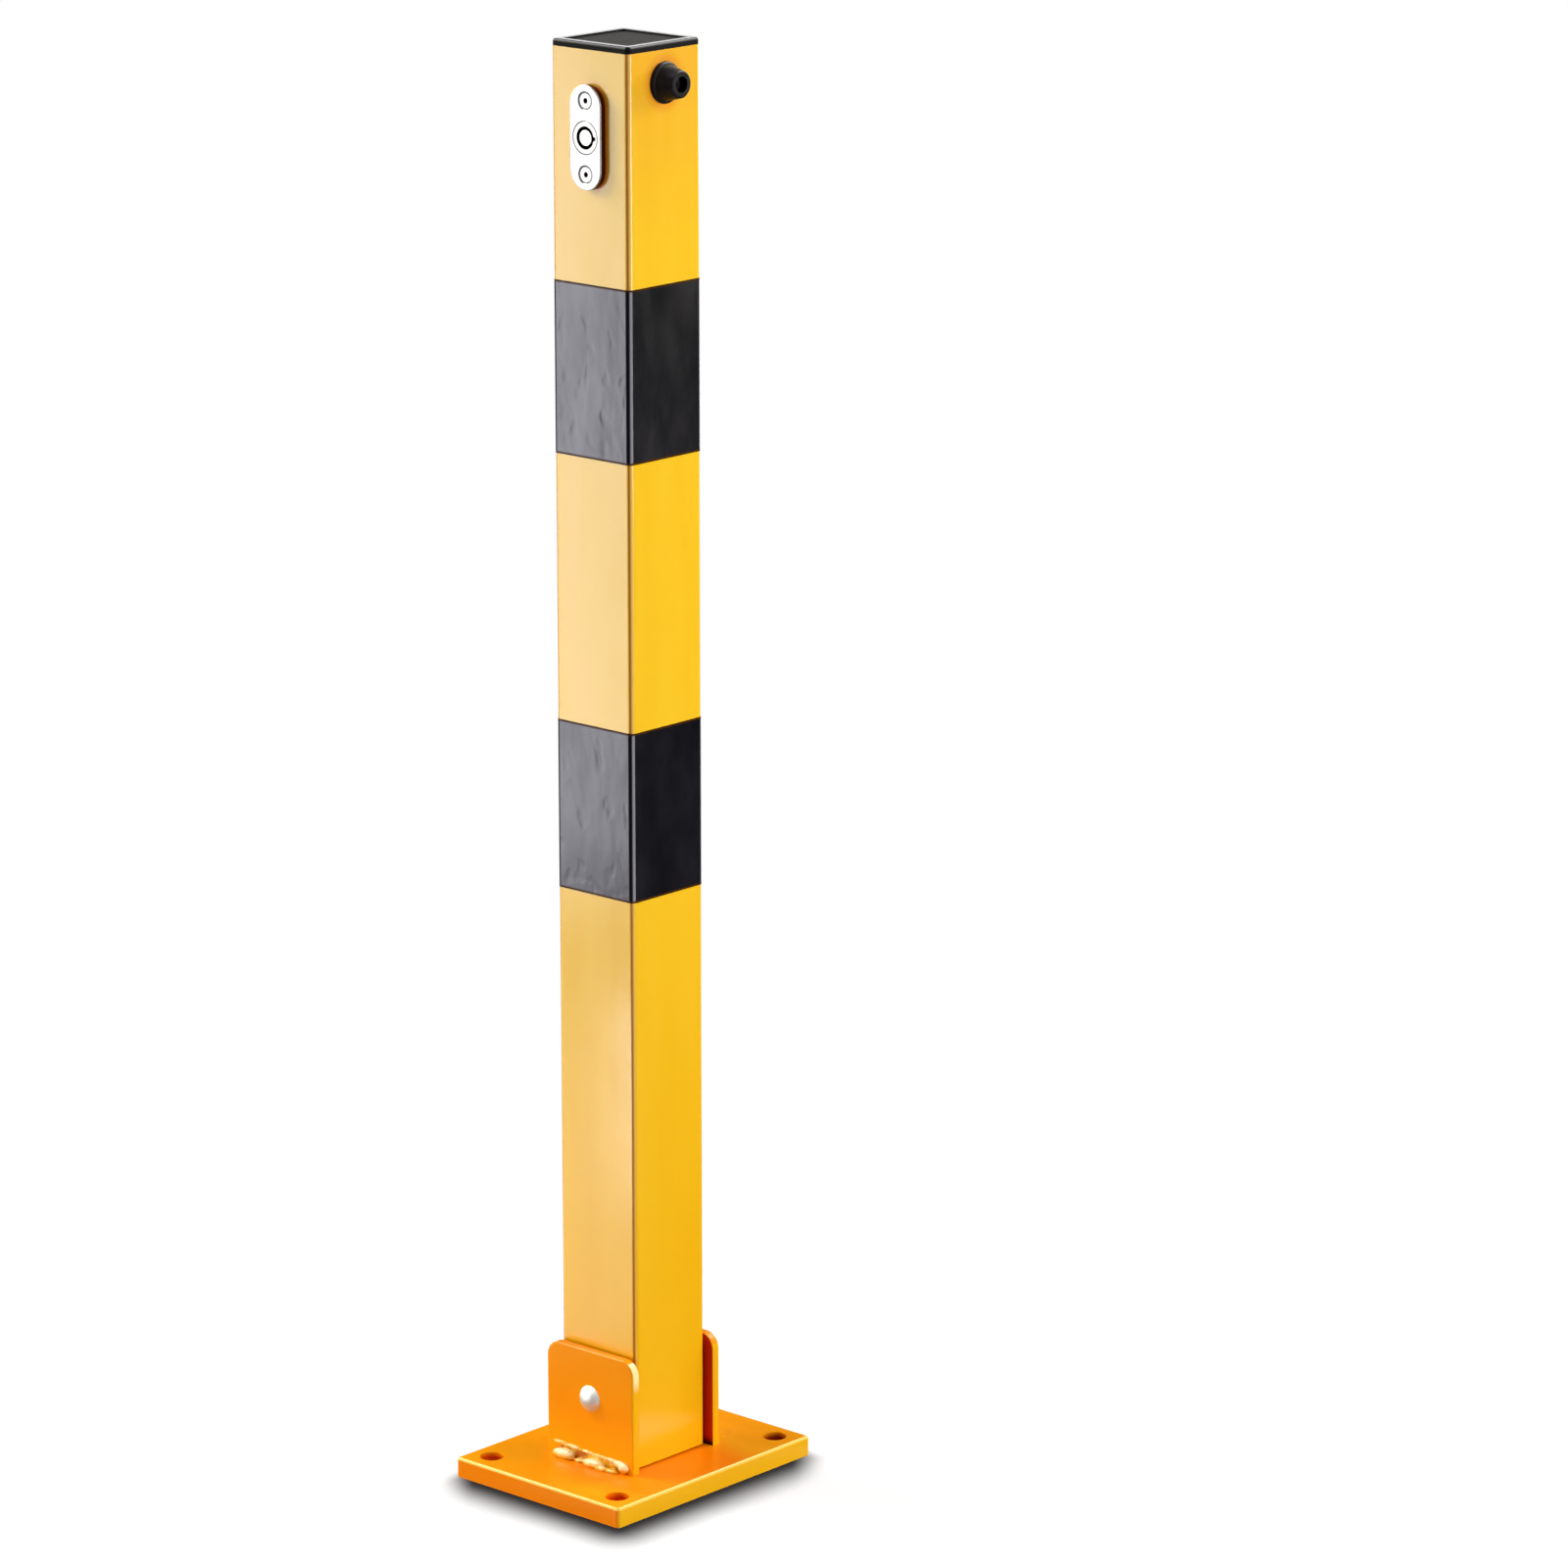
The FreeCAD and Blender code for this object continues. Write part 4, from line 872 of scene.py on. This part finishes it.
# Cards: black velvet and white silk that stand beside the set or lie on the floor, as a
# photographer puts them. The black ones keep the colour of glossy paint, and the white ones draw
# the pale lines on the round edges. They are seen in reflections only, and light or shade nothing.
VELVET_BLACK = (0.004, 0.004, 0.004, 1)
NO_COLOUR = (0, 0, 0, 1)
WARM_SILK = (1.0, 0.95, 0.55, 1)
WHITE_SILK = (1, 1, 1, 1)
LEFT_SILK_GLOW = 18.0
BACK_SILK_GLOW = 8.0
HEAD_SILK_GLOW = 19.0
FLOOR_SILK_GLOW = 1.10
CAP_SILK_GLOW = 3.4


def silk_finish(name, colour, strength):
    silk = new_finish(name)
    set_shader(silk, {"Base Color": NO_COLOUR, "Emission Color": colour, "Emission Strength": strength})
    return silk


velvet = new_finish("black_velvet")
set_shader(velvet, {"Base Color": VELVET_BLACK, "Roughness": 1.0, "Specular IOR Level": 0.0})
left_silk = silk_finish("left_silk", WARM_SILK, LEFT_SILK_GLOW)
back_silk = silk_finish("back_silk", WARM_SILK, BACK_SILK_GLOW)
head_silk = silk_finish("head_silk", WHITE_SILK, HEAD_SILK_GLOW)
floor_silk = silk_finish("floor_silk", WHITE_SILK, FLOOR_SILK_GLOW)
cap_silk = silk_finish("cap_silk", WHITE_SILK, CAP_SILK_GLOW)
# Each card has its cloth, its azimuth, counted from the lock face's side towards the bumper's side,
# its start and end, which are each a distance from the post and a height, and its width.
CARDS = [
    ("bumper_side_card", velvet, 138, (0.85, 0.0), (0.85, 0.8), 1.0),
    ("bumper_side_floor_card", velvet, 138, (0.10, 0.0), (0.85, 0.0), 1.0),
    ("back_card", velvet, -138, (0.75, 0.03), (0.75, 0.5), 0.8),
    ("lock_side_floor_card", velvet, -42, (0.08, 0.0), (0.20, 0.0), 0.4),
    ("front_card", velvet, 8, (0.60, -0.1), (0.60, 0.65), 0.38),
    ("front_floor_card", velvet, 8, (0.12, 0.0), (0.60, 0.0), 0.30),
    ("cap_card", cap_silk, -138, (0.80, 0.82), (0.80, 1.03), 0.40),
    ("lock_side_floor_silk", floor_silk, -42, (0.20, 0.0), (1.15, 0.0), 0.45),
    ("high_left_card", left_silk, -71, (1.02, 0.63), (0.60, 1.05), 0.60),
    ("high_back_card", back_silk, 161, (1.10, 0.50), (0.55, 1.05), 0.80),
    ("head_left_card", head_silk, -69, (1.05, 1.35), (0.60, 1.80), 0.80),
    ("head_back_card", head_silk, 161, (1.15, 1.25), (0.55, 1.85), 1.00),
]


def set_card(name, cloth, azimuth, start, end, width):
    turn = math.radians(azimuth)
    run, climb = end[0] - start[0], end[1] - start[1]
    middle = (start[0] + end[0]) / 2
    bpy.ops.mesh.primitive_plane_add(size=1)
    card = bpy.context.object
    card.name = name
    card.scale = (width, math.hypot(run, climb), 1)
    card.rotation_euler = (-math.atan2(climb, run), 0, turn)
    card.location = (middle * math.sin(turn), -middle * math.cos(turn), (start[1] + end[1]) / 2)
    set_in_place(card)
    card.data.materials.append(cloth)
    card.visible_camera = False
    card.visible_diffuse = False
    card.visible_transmission = False
    card.visible_shadow = False


for card_row in CARDS:
    set_card(*card_row)

# Room: white to the eye and in reflections, with an even, dimmer fill on the surfaces.
# It stands for the pale walls and ceiling of a studio.
FILL = 0.25
room = bpy.data.worlds.new("room")
bpy.context.scene.world = room
room.use_nodes = True
sky = room.node_tree.nodes["Background"]
feed(room, sky.inputs["Color"], (1, 1, 1, 1))
feed(room, sky.inputs["Strength"], spread(room, when_seen(room), FILL, 1.0, 0, 1))

# Studio lamps: soft boxes round the post, each with its azimuth, height, distance, width,
# length, watts and the height that it is aimed at.
LAMPS = [
    ("lock_side_strip", -47, 0.370, 0.75, 0.22, 0.53, 1.24, 0.370),
    ("foot_box", -20, 0.07, 0.42, 0.30, 0.12, 0.38, 0.05),
    ("bumper_side_box", 108, 0.62, 1.30, 0.50, 0.80, 13.3, 0.36),
    ("high_left_box", -69, 1.10, 1.10, 0.45, 0.45, 14.4, 0.05),
    ("high_back_box", 161, 1.00, 1.20, 0.45, 0.45, 8.6, 0.05),
]


def turn_to(piece, target):
    """Turns a lamp or a camera so that it looks at a point."""
    piece.rotation_euler = (target - piece.location).to_track_quat("-Z", "Y").to_euler()


def hang_lamp(name, azimuth, height, distance, width, length, watts, aim_height):
    turn = math.radians(azimuth)
    lamp = bpy.data.lights.new(name, "AREA")
    lamp.shape = "RECTANGLE"
    lamp.size = width
    lamp.size_y = length
    lamp.energy = watts
    stand = bpy.data.objects.new(name, lamp)
    stand.location = (distance * math.sin(turn), -distance * math.cos(turn), height)
    turn_to(stand, Vector((0, 0, aim_height)))
    stand.visible_camera = False
    bpy.context.scene.collection.objects.link(stand)


for lamp_row in LAMPS:
    hang_lamp(*lamp_row)

# Camera: a long lens at the photograph's own angle, aimed a little to the right of the post.
# It looks down a little, on the lock face and the bumper face.
AIM = Vector((0.0573, 0.0480, 0.3507))
CAMERA_PLACE = (2.13195, -2.27243, 1.14598)
CAMERA_LENS = 152.23
CAMERA_SENSOR = 36
camera_data = bpy.data.cameras.new("camera")
camera_data.lens = CAMERA_LENS
camera_data.sensor_width = CAMERA_SENSOR
camera = bpy.data.objects.new("camera", camera_data)
camera.location = CAMERA_PLACE
turn_to(camera, AIM)
bpy.context.scene.collection.objects.link(camera)
bpy.context.scene.camera = camera
bpy.context.scene.view_settings.view_transform = "Standard"
